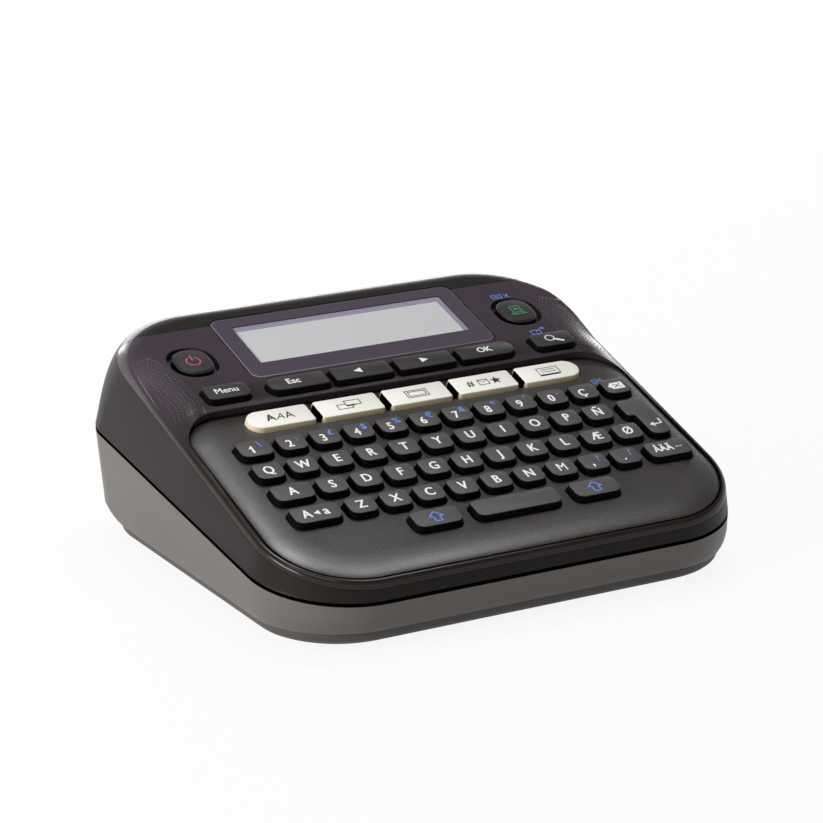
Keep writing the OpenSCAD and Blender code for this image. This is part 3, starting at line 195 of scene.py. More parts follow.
LOOKS = {
    "lower_shell": moulded("Warm Grey Shell", (90, 86, 82), (0.36, 0.46), amount=0.25, bump=0.12),
    "upper_shell": moulded("Charcoal Shell", (30, 26, 24), (0.32, 0.4), amount=0.25, bump=0.1, specular=0.12),
    "gloss_frame": polished("Piano Gloss", (66, 57, 64), (0.17, 0.23), specular=0.22),
    "deck_plate": moulded("Speckled Deck", (41, 38, 36), (0.29, 0.35), fleck=(108, 101, 92), amount=0.55, scale=2600.0,
                          bump=0.4, specular=0.7),
    "lens": polished("Smoked Bezel", (80, 72, 85), (0.08, 0.12), bump=0.0),
    "display": polished("Display Glass", (200, 200, 203), (0.3, 0.34), bump=0.0),
    "circuit_board": moulded("Solder Mask", (20, 80, 45), (0.25, 0.4)),
    "key_mat": moulded("Silicone Mat", (185, 185, 180), (0.6, 0.75)),
    "steel": polished("Bright Steel", (200, 200, 202), (0.2, 0.34), metallic=1.0, size=220.0),
    "cover": moulded("Cover Shell", (66, 62, 60), (0.42, 0.55), amount=0.25, bump=0.2),
    "foot_rubber": moulded("Foot Rubber", (28, 28, 28), (0.75, 0.9), bump=0.3),
    "black_plastic": moulded("Black Moulding", (30, 30, 31), (0.4, 0.55)),
    "key_cap": moulded("Key Cap", (62, 58, 58), (0.42, 0.52), fleck=(84, 80, 78), amount=0.2, scale=3200.0, bump=0.15),
    "white_key": moulded("Ivory Key", (240, 238, 230), (0.38, 0.48), fleck=(228, 224, 212), amount=0.2, bump=0.08),
    "metal_frame": polished("Pressed Sheet", (178, 179, 182), (0.3, 0.45), metallic=1.0, size=180.0),
    "brass": polished("Turned Brass", (198, 168, 96), (0.22, 0.34), metallic=1.0, size=200.0),
    "gear_plastic": moulded("Acetal", (228, 226, 216), (0.32, 0.42), bump=0.05),
    "roller_rubber": moulded("Ground Rubber", (34, 34, 35), (0.65, 0.8), bump=0.35),
    "ceramic": polished("Glazed Ceramic", (232, 226, 210), (0.12, 0.2)),
    "cells": polished("Cell Sleeve", (120, 124, 132), (0.22, 0.32), coat=0.3),
    "cassette": polished("Smoked Case", (120, 120, 126), (0.14, 0.22)),
    "tape": moulded("Tape Edge", (236, 236, 232), (0.45, 0.6), bump=0.1, scale=4000.0),
}
SLOT_OF = {part["node"]: part["material_slot"] for part in frame["record"]["subparts"]}
WHITE_INK, BLUE_INK, BLACK_INK, PINK_INK, GREEN_INK = [
    polished(name + " Legend Ink", colour, (0.3, 0.4)) for name, colour in (
        ("White", (242, 242, 242)), ("Blue", (104, 146, 232)), ("Black", (38, 38, 40)), ("Pink", (214, 96, 120)),
        ("Green", (44, 150, 104)))]
# Near black with hardly any gloss: painted shade on key sides and on the ends between keys
KEY_SIDE_SHADE = moulded("Key Side", (5, 4, 4), (0.6, 0.7), bump=0.05, specular=0.04)
IVORY_SIDE = moulded("Ivory Key Side", (214, 196, 164), (0.4, 0.5), bump=0.05)
PANEL_KEY = moulded("Panel Key", (33, 29, 31), (0.42, 0.5), amount=0.2, bump=0.1, specular=0.3)
SHADOW_LINE = moulded("Shadow Line", (4, 4, 4), (0.7, 0.8), bump=0.0, specular=0.0)


def browner_in_front(look, front, low, high):
    """A second colour towards the front of the object, blended along Y between two distances in metres."""
    tree = look.node_tree
    shader = tree.nodes["Principled BSDF"]
    place = add(tree, "ShaderNodeSeparateXYZ", None, {0: add(tree, "ShaderNodeTexCoord").outputs["Object"]})
    share = add(tree, "ShaderNodeMapRange", {"interpolation_type": "SMOOTHSTEP"},
                {"Value": place.outputs["Y"], "From Min": low, "From Max": high})
    blend = add(tree, "ShaderNodeMix", {"data_type": "RGBA"},
                {0: share.outputs["Result"], 6: (*srgb(front), 1), 7: shader.inputs["Base Color"].default_value[:]})
    tree.links.new(blend.outputs[2], shader.inputs["Base Color"])


browner_in_front(LOOKS["gloss_frame"], (37, 32, 30), low=-0.012, high=0.034)


# ---- Shapes ----
def linked(name, data):
    """A new object in the scene."""
    made = bpy.data.objects.new(name, data)
    bpy.context.scene.collection.objects.link(made)
    return made


def evaluated(held):
    """The mesh of an object after its modifiers, or that of its letters; the object goes."""
    bpy.context.view_layer.update()
    mesh = bpy.data.meshes.new_from_object(held.evaluated_get(bpy.context.evaluated_depsgraph_get()))
    bm = bmesh.new()
    bm.from_mesh(mesh)
    bpy.data.meshes.remove(mesh)
    bpy.data.objects.remove(held)
    return bm


def rounded(bm, corners, z, steps):
    """A flat face through corners given as (x, y, radius), anticlockwise."""
    verts = [bm.verts.new((x, y, z)) for x, y, _ in corners]
    bm.faces.new(verts)
    for vert, (_, _, radius) in zip(verts, corners):
        if radius > 0:
            bmesh.ops.bevel(bm, geom=[vert], offset=radius, offset_type="OFFSET", segments=steps, profile=0.5,
                            affect="VERTICES", material=-1)
    bm.faces.ensure_lookup_table()
    return bm.faces[-1]


def box_corners(x0, y0, x1, y1, front, rear, left=None, right=None):
    """Corners of a rectangle with radii by edge: front pair, rear pair, or a rounder left or right end."""
    return [(x0, y0, front if left is None else left), (x1, y0, front if right is None else right),
            (x1, y1, rear if right is None else right), (x0, y1, rear if left is None else left)]


def centred(x, y, w, d, front, rear=None, left=None, right=None):
    rear = front if rear is None else rear
    return box_corners(x - w / 2, y - d / 2, x + w / 2, y + d / 2, front, rear, left, right)


def prism(corners, low, high, steps=8):
    """A closed solid between two heights."""
    bm = bmesh.new()
    base = rounded(bm, corners, low, steps)
    made = bmesh.ops.extrude_face_region(bm, geom=[base], use_keep_orig=True)["geom"]
    bmesh.ops.translate(bm, vec=(0, 0, high - low), verts=[g for g in made if isinstance(g, bmesh.types.BMVert)])
    bmesh.ops.recalc_face_normals(bm, faces=bm.faces)
    return bm


def cylinder(x, y, low, high, r, count=20):
    bm = bmesh.new()
    bmesh.ops.create_cone(bm, cap_ends=True, segments=count, radius1=r, radius2=r, depth=high - low,
                          matrix=Matrix.Translation((x, y, (low + high) / 2)))
    return bm


def placed(bm, place):
    bm.transform(place)
    return bm


def grown(corners, by):
    """Corners moved away from their middle, with rounder radii."""
    xs, ys = [c[0] for c in corners], [c[1] for c in corners]
    mid_x, mid_y = (min(xs) + max(xs)) / 2, (min(ys) + max(ys)) / 2
    return [(x + by * (1 if x > mid_x else -1), y + by * (1 if y > mid_y else -1), r + by) for x, y, r in corners]


def top_face(bm):
    """The highest face, and of several at one height the largest."""
    return max(bm.faces, key=lambda f: f.calc_center_median().z + f.calc_area() * 1e-6)


def top_rim(bm, high):
    """The edges that lie at a height."""
    return [e for e in bm.edges if all(abs(v.co.z - high) < 1e-4 for v in e.verts)]


def soften(bm, edges, radius, steps=3):
    bmesh.ops.bevel(bm, geom=edges, offset=radius, offset_type="OFFSET", segments=steps, profile=0.5, affect="EDGES",
                    material=-1)


def joined(parts):
    """One mesh from several, each (mesh, frame, material number or None to keep its own)."""
    whole = bmesh.new()
    for bm, place, number in parts:
        if number is not None:
            for face in bm.faces:
                face.material_index = number
        bm.transform(place)
        holder = bpy.data.meshes.new("holder")
        bm.to_mesh(holder)
        bm.free()
        whole.from_mesh(holder)
        bpy.data.meshes.remove(holder)
    return whole


def piece(name, bm, body, looks, slot, stands_for=(), smooth=30.0):
    """Finishes a mesh drawn in millimetres: to metres, shaded, given its looks, and hung on its body."""
    mesh = bpy.data.meshes.new(name)
    bmesh.ops.scale(bm, vec=(MM, MM, MM), verts=bm.verts)
    bm.to_mesh(mesh)
    bm.free()
    mesh.shade_smooth()
    mesh.set_sharp_from_angle(angle=radians(smooth))
    made = linked(name, mesh)
    for look in looks:
        mesh.materials.append(look)
    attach(made, body)
    if stands_for:
        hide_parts(*stands_for)
    return made


def rounded_piece(name, bm, body, looks, slot, stands_for, smooth=30.0):
    """A finished piece whose flats keep flat normals beside its rounds."""
    made = piece(name, bm, body, looks, slot, stands_for, smooth)
    normals = made.modifiers.new("normals", "WEIGHTED_NORMAL")
    normals.keep_sharp, normals.weight = True, 90
    return made


def body_of(node):
    return next(body for body, members in frame["record"]["behaviour"]["bodies"].items() if node in members)


def merged_cad(node):
    """A CAD solid in millimetres, with its loose triangles merged."""
    bm = bmesh.new()
    bm.from_mesh(nodes[node].data)
    bmesh.ops.remove_doubles(bm, verts=bm.verts, dist=1e-6)
    bmesh.ops.scale(bm, vec=(1 / MM, 1 / MM, 1 / MM), verts=bm.verts)
    return bm


def carve(target, cutters, operation="DIFFERENCE"):
    """Boolean of one drawn mesh with others, all in millimetres."""
    meshes = []
    for bm in (target, *cutters):
        meshes.append(bpy.data.meshes.new("carved"))
        bm.to_mesh(meshes[-1])
        bm.free()
    base, *tools = [linked("carved", mesh) for mesh in meshes]
    for tool in tools:
        step = base.modifiers.new("cut", "BOOLEAN")
        step.operation, step.solver, step.object = operation, "EXACT", tool
    result = evaluated(base)
    for tool in tools:
        bpy.data.objects.remove(tool)
    for mesh in meshes:
        bpy.data.meshes.remove(mesh)
    return result


# ---- Legends ----
INK = 0.03


def lettering(text, size, weight=0.0, squeeze=1.0, lean=0.0):
    """Raised ink in the shape of plain letters, centred on the origin, as a mesh."""
    curve = bpy.data.curves.new("letters", "FONT")
    curve.body, curve.size, curve.extrude, curve.offset = text, size, INK / 2, weight
    curve.align_x, curve.align_y, curve.resolution_u, curve.shear = "CENTER", "CENTER", 4, lean
    bm = evaluated(linked("letters", curve))
    bpy.data.curves.remove(curve)
    bmesh.ops.remove_doubles(bm, verts=bm.verts, dist=1e-4)
    return placed(bm, Matrix.Diagonal((squeeze, 1, 1, 1)))


def bold(text, size, weight, squeeze=0.9):
    """Letters printed a little heavier: the same shape laid down three times, a little apart."""
    swell = 0.0 if "M" in text else 0.02
    return joined([(lettering(text, size, swell, squeeze), Matrix.Translation(shift), None)
                   for shift in ((-weight, 0, 0), (weight, 0, 0.006), (0, weight * 0.7, 0.012))])


def stroke(points, width, closed=False):
    """A flat painted line of one width through (x, y) points."""
    parts = []
    pairs = list(zip(points, points[1:])) + ([(points[-1], points[0])] if closed else [])
    for (ax, ay), (bx, by) in pairs:
        length = hypot(bx - ax, by - ay)
        bar = prism(centred(0, 0, length + width, width, width * 0.3), -INK / 2, INK / 2, 2)
        turn = Matrix.Rotation(atan2(by - ay, bx - ax), 4, "Z")
        parts.append((bar, Matrix.Translation(((ax + bx) / 2, (ay + by) / 2, 0)) @ turn, None))
    return joined(parts)


def on(plane, x, v, n):
    """Frame of a mark that lies at height n over a sloping plane."""
    return plane @ Matrix.Translation((x, v, n + INK * 0.45))


def rectangle(x0, y0, x1, y1):
    return [(x0, y0), (x1, y0), (x1, y1), (x0, y1)]


def patch(points):
    """A flat painted polygon."""
    return prism([(x, y, 0) for x, y in points], -INK / 2, INK / 2)


def ring_points(x, y, r, start, end, count):
    """Points on an arc, between two angles in degrees."""
    turns = [radians(start + (end - start) * k / count) for k in range(count + 1)]
    return [(x + r * cos(turn), y + r * sin(turn)) for turn in turns]


# ---- Keys ----
ROW_V, ROW_PITCH, KEY_PITCH = -11.9, 11.7, 11.17
KEY_W, KEY_D, KEY_RISE = 8.7, 7.5, 2.2
NEAR_R, FAR_R = 2.5, 1.5
WHITE_V, WHITE_W, WHITE_D, WHITE_R, WHITE_RISE = 2.4, 20.8, 8.7, 0.8, 1.5
FLARE, WHITE_FLARE = 0.55, 0.3
TOP_EDGE = 0.22
FLANGE, FLANGE_T, FLANGE_GAP = 0.5, 0.9, 0.3
HOLE_GAP = 0.25
DECK_FLANGE_N = -PLATE_T - FLANGE_GAP - FLANGE_T
PANEL_FLANGE_N = -2 - FLANGE_GAP - FLANGE_T
HERE = Matrix.Identity(4)


def row_v(i):
    return ROW_V - i * ROW_PITCH


def key_solid(foot, flange, rise, flange_n, flare=FLARE, top_from=0.5, shaded_ends=()):
    """A key cap with softened top edges, and the flange that keeps it in its hole.

    Top faces are material 0, sides 1, and the ends that face another key 2; the ends, and the sides of most keys, take
    black painted shade."""
    cap = prism(foot, flange_n, 0.0, 6)
    bmesh.ops.inset_region(cap, faces=[top_face(cap)], thickness=flare, depth=rise, use_even_offset=True)
    soften(cap, top_rim(cap, rise), TOP_EDGE)
    for face in cap.faces:
        level = abs(face.calc_center_median().y - WHITE_V) < 0.2
        inner = level and any(face.normal.x * end > 0.9 for end in shaded_ends)
        face.material_index = 0 if face.normal.z > top_from else 2 if inner else 1
    return cap, prism(flange, flange_n, flange_n + FLANGE_T, 4)


def keys_piece(node, key_list, place, rise, flange_n, flange=FLARE + FLANGE, looks=None, flare=FLARE, shaded_ends=()):
    """One piece for a node of one or more keys: key_list holds the corners of each."""
    solids = [key_solid(grown(corners, flare), grown(corners, flange), rise, flange_n, flare, shaded_ends=shaded_ends)
              for corners in key_list]
    # Looks are top, sides and facing ends; the ends, and the sides unless a key brings its own looks, are black painted
    # shade
    piece(node + "_caps", joined([(part, place, None) for solid in solids for part in solid]), body_of(node),
          [*(looks or [LOOKS["key_cap"], KEY_SIDE_SHADE]), KEY_SIDE_SHADE], SLOT_OF[node], [node])


def deck_corners(x, row, w=KEY_W):
    return centred(x, row_v(row), w, KEY_D, NEAR_R, FAR_R)


def row_corners(row, xs, wider=0.0):
    """Corners of one row of keys, of which the first may be wider."""
    return [deck_corners(xs[0], row, KEY_W + wider)] + [deck_corners(x, row) for x in xs[1:]]


NUMBER_X = [-59.2] + [-47.1 + i * KEY_PITCH for i in range(10)]
UPPER_X = [-60.2 + i * KEY_PITCH for i in range(11)]
HOME_X = [-58.1] + [-45.3 + i * KEY_PITCH for i in range(10)]
LOWER_X = [-41.8 + i * KEY_PITCH for i in range(9)]
BACKSPACE_X, CAPS_X, ACCENT_X, SPACE_X, SHIFT_X = 64.9, -56.4, 62.7, 3, (-23.5, 29.8)
DECK_KEYS = {
    "number_keys": row_corners(0, NUMBER_X, 1.6), "upper_letter_keys": row_corners(1, UPPER_X),
    "home_letter_keys": row_corners(2, HOME_X, 3.8), "lower_letter_keys": row_corners(3, LOWER_X),
    "backspace_key": [deck_corners(BACKSPACE_X, 0)], "caps_key": [deck_corners(CAPS_X, 3, 14.8)],
    "accent_key": [deck_corners(ACCENT_X, 3, 14.5)], "shift_left_key": [deck_corners(SHIFT_X[0], 4, 15)],
    "space_key": [deck_corners(SPACE_X, 4, 28)], "shift_right_key": [deck_corners(SHIFT_X[1], 4, 15)]}
for node, key_list in DECK_KEYS.items():
    keys_piece(node, key_list, DECK, KEY_RISE, DECK_FLANGE_N)

# The key over two rows, wider at the back
ENTER_X = (59.8, 62.4, 69.2)
ENTER_V = (row_v(2) - KEY_D / 2, row_v(1) - KEY_D / 2 - 0.6, row_v(1) + KEY_D / 2)


def enter_corners(grow):
    near, far, inner = NEAR_R + grow, FAR_R + grow, 0.4
    x0, x1, x2 = ENTER_X[0] - grow, ENTER_X[1] - grow, ENTER_X[2] + grow
    v0, v1, v2 = ENTER_V[0] - grow, ENTER_V[1] - grow, ENTER_V[2] + grow
    return [(x1, v0, near), (x2, v0, near), (x2, v2, far), (x0, v2, far), (x0, v1, far), (x1, v1, inner)]


# Its sides are black painted shade, as on the other keys
cap, skirt = key_solid(enter_corners(FLARE), enter_corners(FLARE + FLANGE), KEY_RISE, DECK_FLANGE_N, top_from=0.35)
piece("enter_key_caps", joined([(cap, DECK, None), (skirt, DECK, 1)]), "enter_key", [LOOKS["key_cap"], KEY_SIDE_SHADE],
      "key_cap", ["enter_key"])

# The row of white keys, whose outer ends are half round; the ends that face a neighbour are black painted shade
WHITE_KEYS = ("text_style_key", "label_type_key", "frame_key", "symbol_key", "file_key")
WHITE_X = [-44.3 + 23.3 * i for i in range(5)]
WHITE_END = WHITE_D / 2 - 0.1
WHITE_CORNERS = [centred(x, WHITE_V, WHITE_W, WHITE_D, WHITE_R, left=WHITE_END if x == WHITE_X[0] else None,
                         right=WHITE_END if x == WHITE_X[-1] else None) for x in WHITE_X]
for i, node in enumerate(WHITE_KEYS):
    keys_piece(node, [WHITE_CORNERS[i]], DECK, WHITE_RISE, DECK_FLANGE_N, looks=[LOOKS["white_key"], IVORY_SIDE],
               flare=WHITE_FLARE, shaded_ends=[end for end in (-1, 1) if 0 <= i + end <= 4])

# Panel keys: corners, rise and the gap round each
NAV_KEYS = ("escape_key", "cursor_left_key", "cursor_right_key", "ok_key")
NAV_X = [-31.9 + 21.85 * i for i in range(4)]
NAV_END = 3.35
POWER_XV, PRINT_XV, ROUND_KEY, ROUND_RISE, ROUND_GAP = (-56.8, 36.6), (56.7, 36.4), (10.8, 12.2, 4.5), 0.6, 1.7
MENU_XV, PREVIEW_XV, SIDE_KEY, PANEL_RISE, PANEL_GAP = (-55, 16.4), (58, 15.9), (13.8, 7.2, 2.2, 1.4), 1.8, 0.3
PANEL_KEYS = {
    "power_key": (centred(*POWER_XV, *ROUND_KEY), ROUND_RISE, ROUND_GAP),
    "print_key": (centred(*PRINT_XV, *ROUND_KEY), ROUND_RISE, ROUND_GAP),
    "menu_key": (centred(*MENU_XV, *SIDE_KEY), PANEL_RISE, PANEL_GAP),
    "preview_key": (centred(*PREVIEW_XV, *SIDE_KEY), PANEL_RISE, PANEL_GAP),
    **{node: (centred(x, 15.6, 19.2, 6.8, 0.8, left=NAV_END if x == NAV_X[0] else None,
                      right=NAV_END if x == NAV_X[-1] else None), PANEL_RISE, PANEL_GAP)
       for node, x in zip(NAV_KEYS, NAV_X)}}
# Their sides are black painted shade
for node, (corners, rise, gap) in PANEL_KEYS.items():
    keys_piece(node, [corners], PANEL, rise, PANEL_FLANGE_N, gap + FLARE + 0.2, looks=[PANEL_KEY, KEY_SIDE_SHADE])

# ---- Housing shells ----
CORNER = 22
SEAT = 0.15
GROOVE, GROOVE_H, GROOVE_TOP = 0.9, 0.8, 0.86
STEP_FROM, STEP_TO = 9.8, 14.0
RIM_DRAFT, RIM_ROUND, FRAME_T, LEDGE_T, LEDGE_W = 1.5, 1.4, 2.2, 1.5, 3.6
CROWN_LEAN, CROWN_POWER, CROWN_LID = 17.0, 2.2, 4.4
CROWN_FROM, CROWN_TO, CROWN_ROUNDER = 20.0, 44.0, 13
WALL = 2.0
PLATE_HW, PANEL_HW, LENS_HW = 74.7, 65.5, 42.4
PLATE_V = (along(-73.1, DECK_TILT), along(9.8, DECK_TILT))
PANEL_REAR = 53.0
LENS_V = (23.1, 57.5)
LENS_T, LENS_TOP = 1.4, -0.02
WALL_STEPS = [(0, 0), (0.25, 0.2), (0.5, 0.46), (0.72, 0.68), (0.88, 0.85), (0.96, 0.95), (1, 0.985)]
WALL_RINGS, RIM_RINGS, TOP_RINGS = 12, 8, 6
TOP_HW, TOP_FRONT = BODY_W / 2 - RIM_DRAFT - RIM_ROUND, RIM_ROUND - BODY_D / 2
TOP_FRONT_R, TOP_REAR_R = FRONT_R - RIM_DRAFT - RIM_ROUND, REAR_R + CROWN_ROUNDER
PANEL_FRONT, PANEL_IN, PANEL_FRONT_R, PANEL_REAR_R = 16 - BODY_D / 2, 1.8, 18, 16


def slope(degrees):
    return tan(radians(degrees))


def split(y):
    return SPLIT_Z + y * slope(SPLIT_TILT)


def rim(y):
    return DECK_Z - RIM_DROP + y * slope(DECK_TILT)


def panel(y):
    return PANEL_Z + y * slope(PANEL_TILT)


def mix(a, b, t):
    return a + (b - a) * t


def ramp(y, low, high):
    return min(1.0, max(0.0, (y - low) / (high - low)))


def rear_y(h):
    return BODY_D / 2 - CROWN_LEAN * (1 - max(0.0, 1 - h ** CROWN_POWER) ** (1 / CROWN_POWER))


# Where each ring has a point along its sides; they lie close together where the panel rises
SIDE_Y = (-42, -34, -27, -21, -16, -11, -7, -4, -1, 2, 4.5, 6.5, 8.3, STEP_FROM, 10.2, 10.8, 11.6, 12.6, STEP_TO,
          15.5, 18, 21, 24, 27)


def ring(bm, hw, front, rear, rf, rr, height, steps=CORNER):
    """Edges of one closed outline whose height follows y."""
    sides = [(-hw, front, rf), (hw, front, rf), *[(hw, y, 0) for y in SIDE_Y], (hw, rear, rr), (-hw, rear, rr),
             *[(-hw, y, 0) for y in reversed(SIDE_Y)]]
    face = rounded(bm, sides, 0, steps)
    edges = list(face.edges)
    for vert in face.verts:
        vert.co.z = height(vert.co.y)
    bmesh.ops.delete(bm, geom=[face], context="FACES_ONLY")
    return edges


def body_ring(bm, side_h, rear_h, side_in=0.0, drop=0.0, inset=0.0, lid=0.0, low=0.0, steps=CORNER):
    """A ring of the upper body: side_h and rear_h run from 0 at the parting line to 1 at the top."""
    def height(y):
        side = mix(split(y) - low, rim(y) - RIM_ROUND - lid, side_h) + (RIM_ROUND - drop if side_h == 1 else 0)
        back = mix(split(y) - low, panel(y) - (CROWN_LID if lid else 0), rear_h)
        return mix(side, back, ramp(y, CROWN_FROM, CROWN_TO))
    return ring(bm, BODY_W / 2 - RIM_DRAFT * side_h - side_in - inset, side_in + inset - BODY_D / 2,
                rear_y(rear_h) - inset, FRONT_R - RIM_DRAFT * side_h - side_in - inset,
                REAR_R + CROWN_ROUNDER * rear_h - inset, height, steps)


def low_ring(bm, inset, rounder, height):
    """A ring of the lower body; its rear corners grow rounder towards the underside."""
    return ring(bm, BODY_W / 2 - inset, inset - BODY_D / 2, BODY_D / 2 - inset, FRONT_R - inset, REAR_R + rounder,
                height)


def loft(bm, rings):
    """Closes a stack of rings into a solid; the top is ruled from side to side."""
    for low, high in zip(rings, rings[1:]):
        bmesh.ops.bridge_loops(bm, edges=low + high)
    for edges in (rings[0], rings[-1]):
        left, right = ([e for e in edges if e.is_valid and all(v.co.x * side > 1e-3 for v in e.verts)]
                       for side in (-1, 1))
        bmesh.ops.bridge_loops(bm, edges=left + right)
    bmesh.ops.recalc_face_normals(bm, faces=bm.faces)
    return bm


def side_share(rear_h):
    """How far up the sides have come where the rear is at rear_h."""
    for (s0, r0), (s1, r1) in zip(WALL_STEPS, WALL_STEPS[1:]):
        if rear_h <= r1:
            return mix(s0, s1, (rear_h - r0) / (r1 - r0))
    return WALL_STEPS[-1][0]


def eased(value):
    return value * value * (3 - 2 * value)


def shoulder(t, y):
    """Height of the top between the rim, where t is 0, and the raised panel, where t is 1."""
    edge = mix(rim(y), panel(y), ramp(y, CROWN_FROM, CROWN_TO))
    rolled = mix(0.8, 1, sin(pi / 2 * ramp(y, STEP_FROM, STEP_TO)))
    raised = mix(eased(ramp(y, -45, 20)), rolled, t ** 3)
    return mix(edge, panel(y), (1 - (1 - t) ** 2) * raised)


def upper_body():
    """One stack of rings: the groove of the parting line, the wall, the round of the rim, and the top."""
    bm = bmesh.new()
    rings = [body_ring(bm, 0, 0, inset=inset, low=low)
             for inset, low in ((GROOVE, 0), (GROOVE, -GROOVE_H), (0.12, -0.87), (0, -1.02))]
    last = asin(WALL_STEPS[-1][1] ** (CROWN_POWER / 2))
    for k in range(1, WALL_RINGS + 1):
        rear_h = sin(last * k / WALL_RINGS) ** (2 / CROWN_POWER)
        rings.append(body_ring(bm, side_share(rear_h) if k < WALL_RINGS else 0.999999, rear_h))
    for k in range(1, RIM_RINGS + 1):
        turn = radians(90 * k / RIM_RINGS)
        rear_h = sin(mix(last, pi / 2, k / RIM_RINGS)) ** (2 / CROWN_POWER)
        rings.append(body_ring(bm, 1, rear_h, RIM_ROUND * (1 - cos(turn)), RIM_ROUND * (1 - sin(turn))))
    for k in range(1, TOP_RINGS + 1):
        t = k / TOP_RINGS
        rings.append(ring(bm, mix(TOP_HW, PANEL_HW, t), mix(TOP_FRONT, PANEL_FRONT, t), rear_y(1) - PANEL_IN * t,
                          mix(TOP_FRONT_R, PANEL_FRONT_R, t), mix(TOP_REAR_R, PANEL_REAR_R, t),
                          lambda y: shoulder(t, y)))
    return loft(bm, rings)


def upper_cavity():
    bm = bmesh.new()
    return loft(bm, [body_ring(bm, s, r, inset=WALL, lid=FRAME_T + LEDGE_T, low=1, steps=8) for s, r in WALL_STEPS])


def outline(hw, front, rear, rf, rr):
    return box_corners(-hw, front, hw, rear, rf, rr)


PLATE = outline(PLATE_HW, *PLATE_V, 25.6, 13.6)
LENS = outline(LENS_HW, *LENS_V, 3.1, 3.1)
DECK_REAR = along(PANEL_REAR, DECK_TILT)
REACH = 30


def face_pocket(gap):
    """The room that the glossy face takes up, from its underside upwards."""
    corners = outline(BODY_W / 2 - RIM_DRAFT + 5, -BODY_D, DECK_REAR + gap, 7, 7)
    return placed(prism(corners, -RIM_DROP - FRAME_T - gap, REACH, 12), DECK)


def lens_recess():
    return placed(prism(grown(LENS, 0.42), -LENS_T - 0.2, 10, 10), PANEL)


def through(corners, place, steps):
    """A cutter that goes right through."""
    return placed(prism(corners, -REACH, REACH, steps), place)


def over_split(face):
    """Height of a face's middle over the parting line."""
    middle = face.calc_center_median()
    return middle.z - split(middle.y)


BOSSES = [(s * x, y) for s in (-1, 1) for x, y in ((71.0, -38.0), (71.0, 26.0), (58.0, 60.0))]
PANEL_POSTS = [(s * (LENS_HW + 3.4), v) for s in (-1, 1) for v in (24.0, 46.0)]
BOSS_R, SCREW_R, POST_R = 3.6, 1.55, 1.6

shell = carve(upper_body(), [upper_cavity()])
shell = carve(shell, [cylinder(x, y, split(y) + 0.02, rim(y) - 5.0, BOSS_R, 32) for x, y in BOSSES], "UNION")
keyboard_well = outline(PLATE_HW - LEDGE_W, PLATE_V[0] + LEDGE_W, DECK_REAR - 4, 22, 6)
shell = carve(shell, [
    face_pocket(0), lens_recess(), placed(prism(outline(39, 26, 55, 1, 1), -10, 10, 3), PANEL),
    placed(prism(keyboard_well, -6.8, 24, 8), DECK),
    *[cylinder(x, y, split(y) - 2, split(y) + 8, SCREW_R) for x, y in BOSSES]])
# The groove of the parting line is painted black, as its shade
for face in shell.faces:
    if over_split(face) < GROOVE_TOP:
        face.material_index = 1
rounded_piece("upper_shell", shell, "body", [LOOKS["upper_shell"], SHADOW_LINE], "upper_shell", ["upper_housing"])

# Glossy face: rim and panel in one, hollowed under the panel but for its posts
under_panel = outline(PANEL_HW + 0.6, along(9.8, PANEL_TILT) + 1, along(PANEL_REAR, PANEL_TILT) - 4, 3, 8)
relief = carve(placed(prism(under_panel, -REACH, -2, 6), PANEL),
               [placed(cylinder(x, v, -31, 0, POST_R), PANEL) for x, v in PANEL_POSTS])
face_part = carve(upper_body(), [face_pocket(-SEAT)], "INTERSECT")
face_part = carve(face_part, [
    through(grown(PLATE, 0.2), DECK, CORNER), lens_recess(),
    through(outline(LENS_HW - 2.5, LENS_V[0] + 2.5, LENS_V[1] + 5, 1, 1), PANEL, 3), relief,
    *[through(grown(corners, gap + FLARE), PANEL, 8) for corners, _, gap in PANEL_KEYS.values()]])
rounded_piece("gloss_face", face_part, "body", [LOOKS["gloss_frame"]], "gloss_frame", ["face_frame"])

# Keyboard plate: a low pillow that rolls off towards its edge, with a hole for every key
EDGE_DROP = 1.5
PILLOW = ((0.3, 0.15), (0.5, 0.2), (1.0, 0.28), (1.8, 0.36), (2.6, 0.32), (3.0, 0.15), (2.0, 0.04))
slab = prism(grown(PLATE, 0), -PLATE_T, -EDGE_DROP, CORNER)
for inset, rise in PILLOW:
    bmesh.ops.inset_region(slab, faces=[top_face(slab)], thickness=inset, depth=rise, use_even_offset=True)
CAPS = [corners for key_list in DECK_KEYS.values() for corners in key_list] + WHITE_CORNERS
HOLES = [grown(corners, FLARE + HOLE_GAP) for corners in CAPS] + [enter_corners(FLARE + HOLE_GAP)]
WHITE_GAPS = [((a + b) / 2, b - a - WHITE_W) for a, b in zip(WHITE_X, WHITE_X[1:])]
holes = joined([(prism(corners, -3, 3, 5), HERE, None) for corners in HOLES])
slots = joined([(prism(centred(x, WHITE_V, w - 2 * FLARE - 0.2, WHITE_D, 0), -3, 3, 1), HERE, None)
                for x, w in WHITE_GAPS])
slab = carve(slab, [holes, slots])
skirt = carve(prism(grown(PLATE, 0), -3.3, -PLATE_T - 0.001, CORNER), [prism(grown(PLATE, -2.6), -5, 0, 10)])
posts = [cylinder(s * x, v, -6.1, -PLATE_T, POST_R) for s in (-1, 1) for x, v in ((60, -5.1), (50, row_v(4)))]
plate = joined([(part, DECK, None) for part in (slab, skirt, *posts)])
rounded_piece("deck_plate", plate, "body", [LOOKS["deck_plate"]], "deck_plate", ["keyboard_plate"])
# Black strips under the slots between the white keys: painted shade in the gaps
gap_shade_strips = [(prism(centred(x, WHITE_V, w + 0.2, WHITE_D, 0.2), -1.88, -1.7, 2), DECK, None) for x, w in WHITE_GAPS]
piece("white_key_gap_shade", joined(gap_shade_strips), "body", [LOOKS["black_plastic"]], "deck_plate")
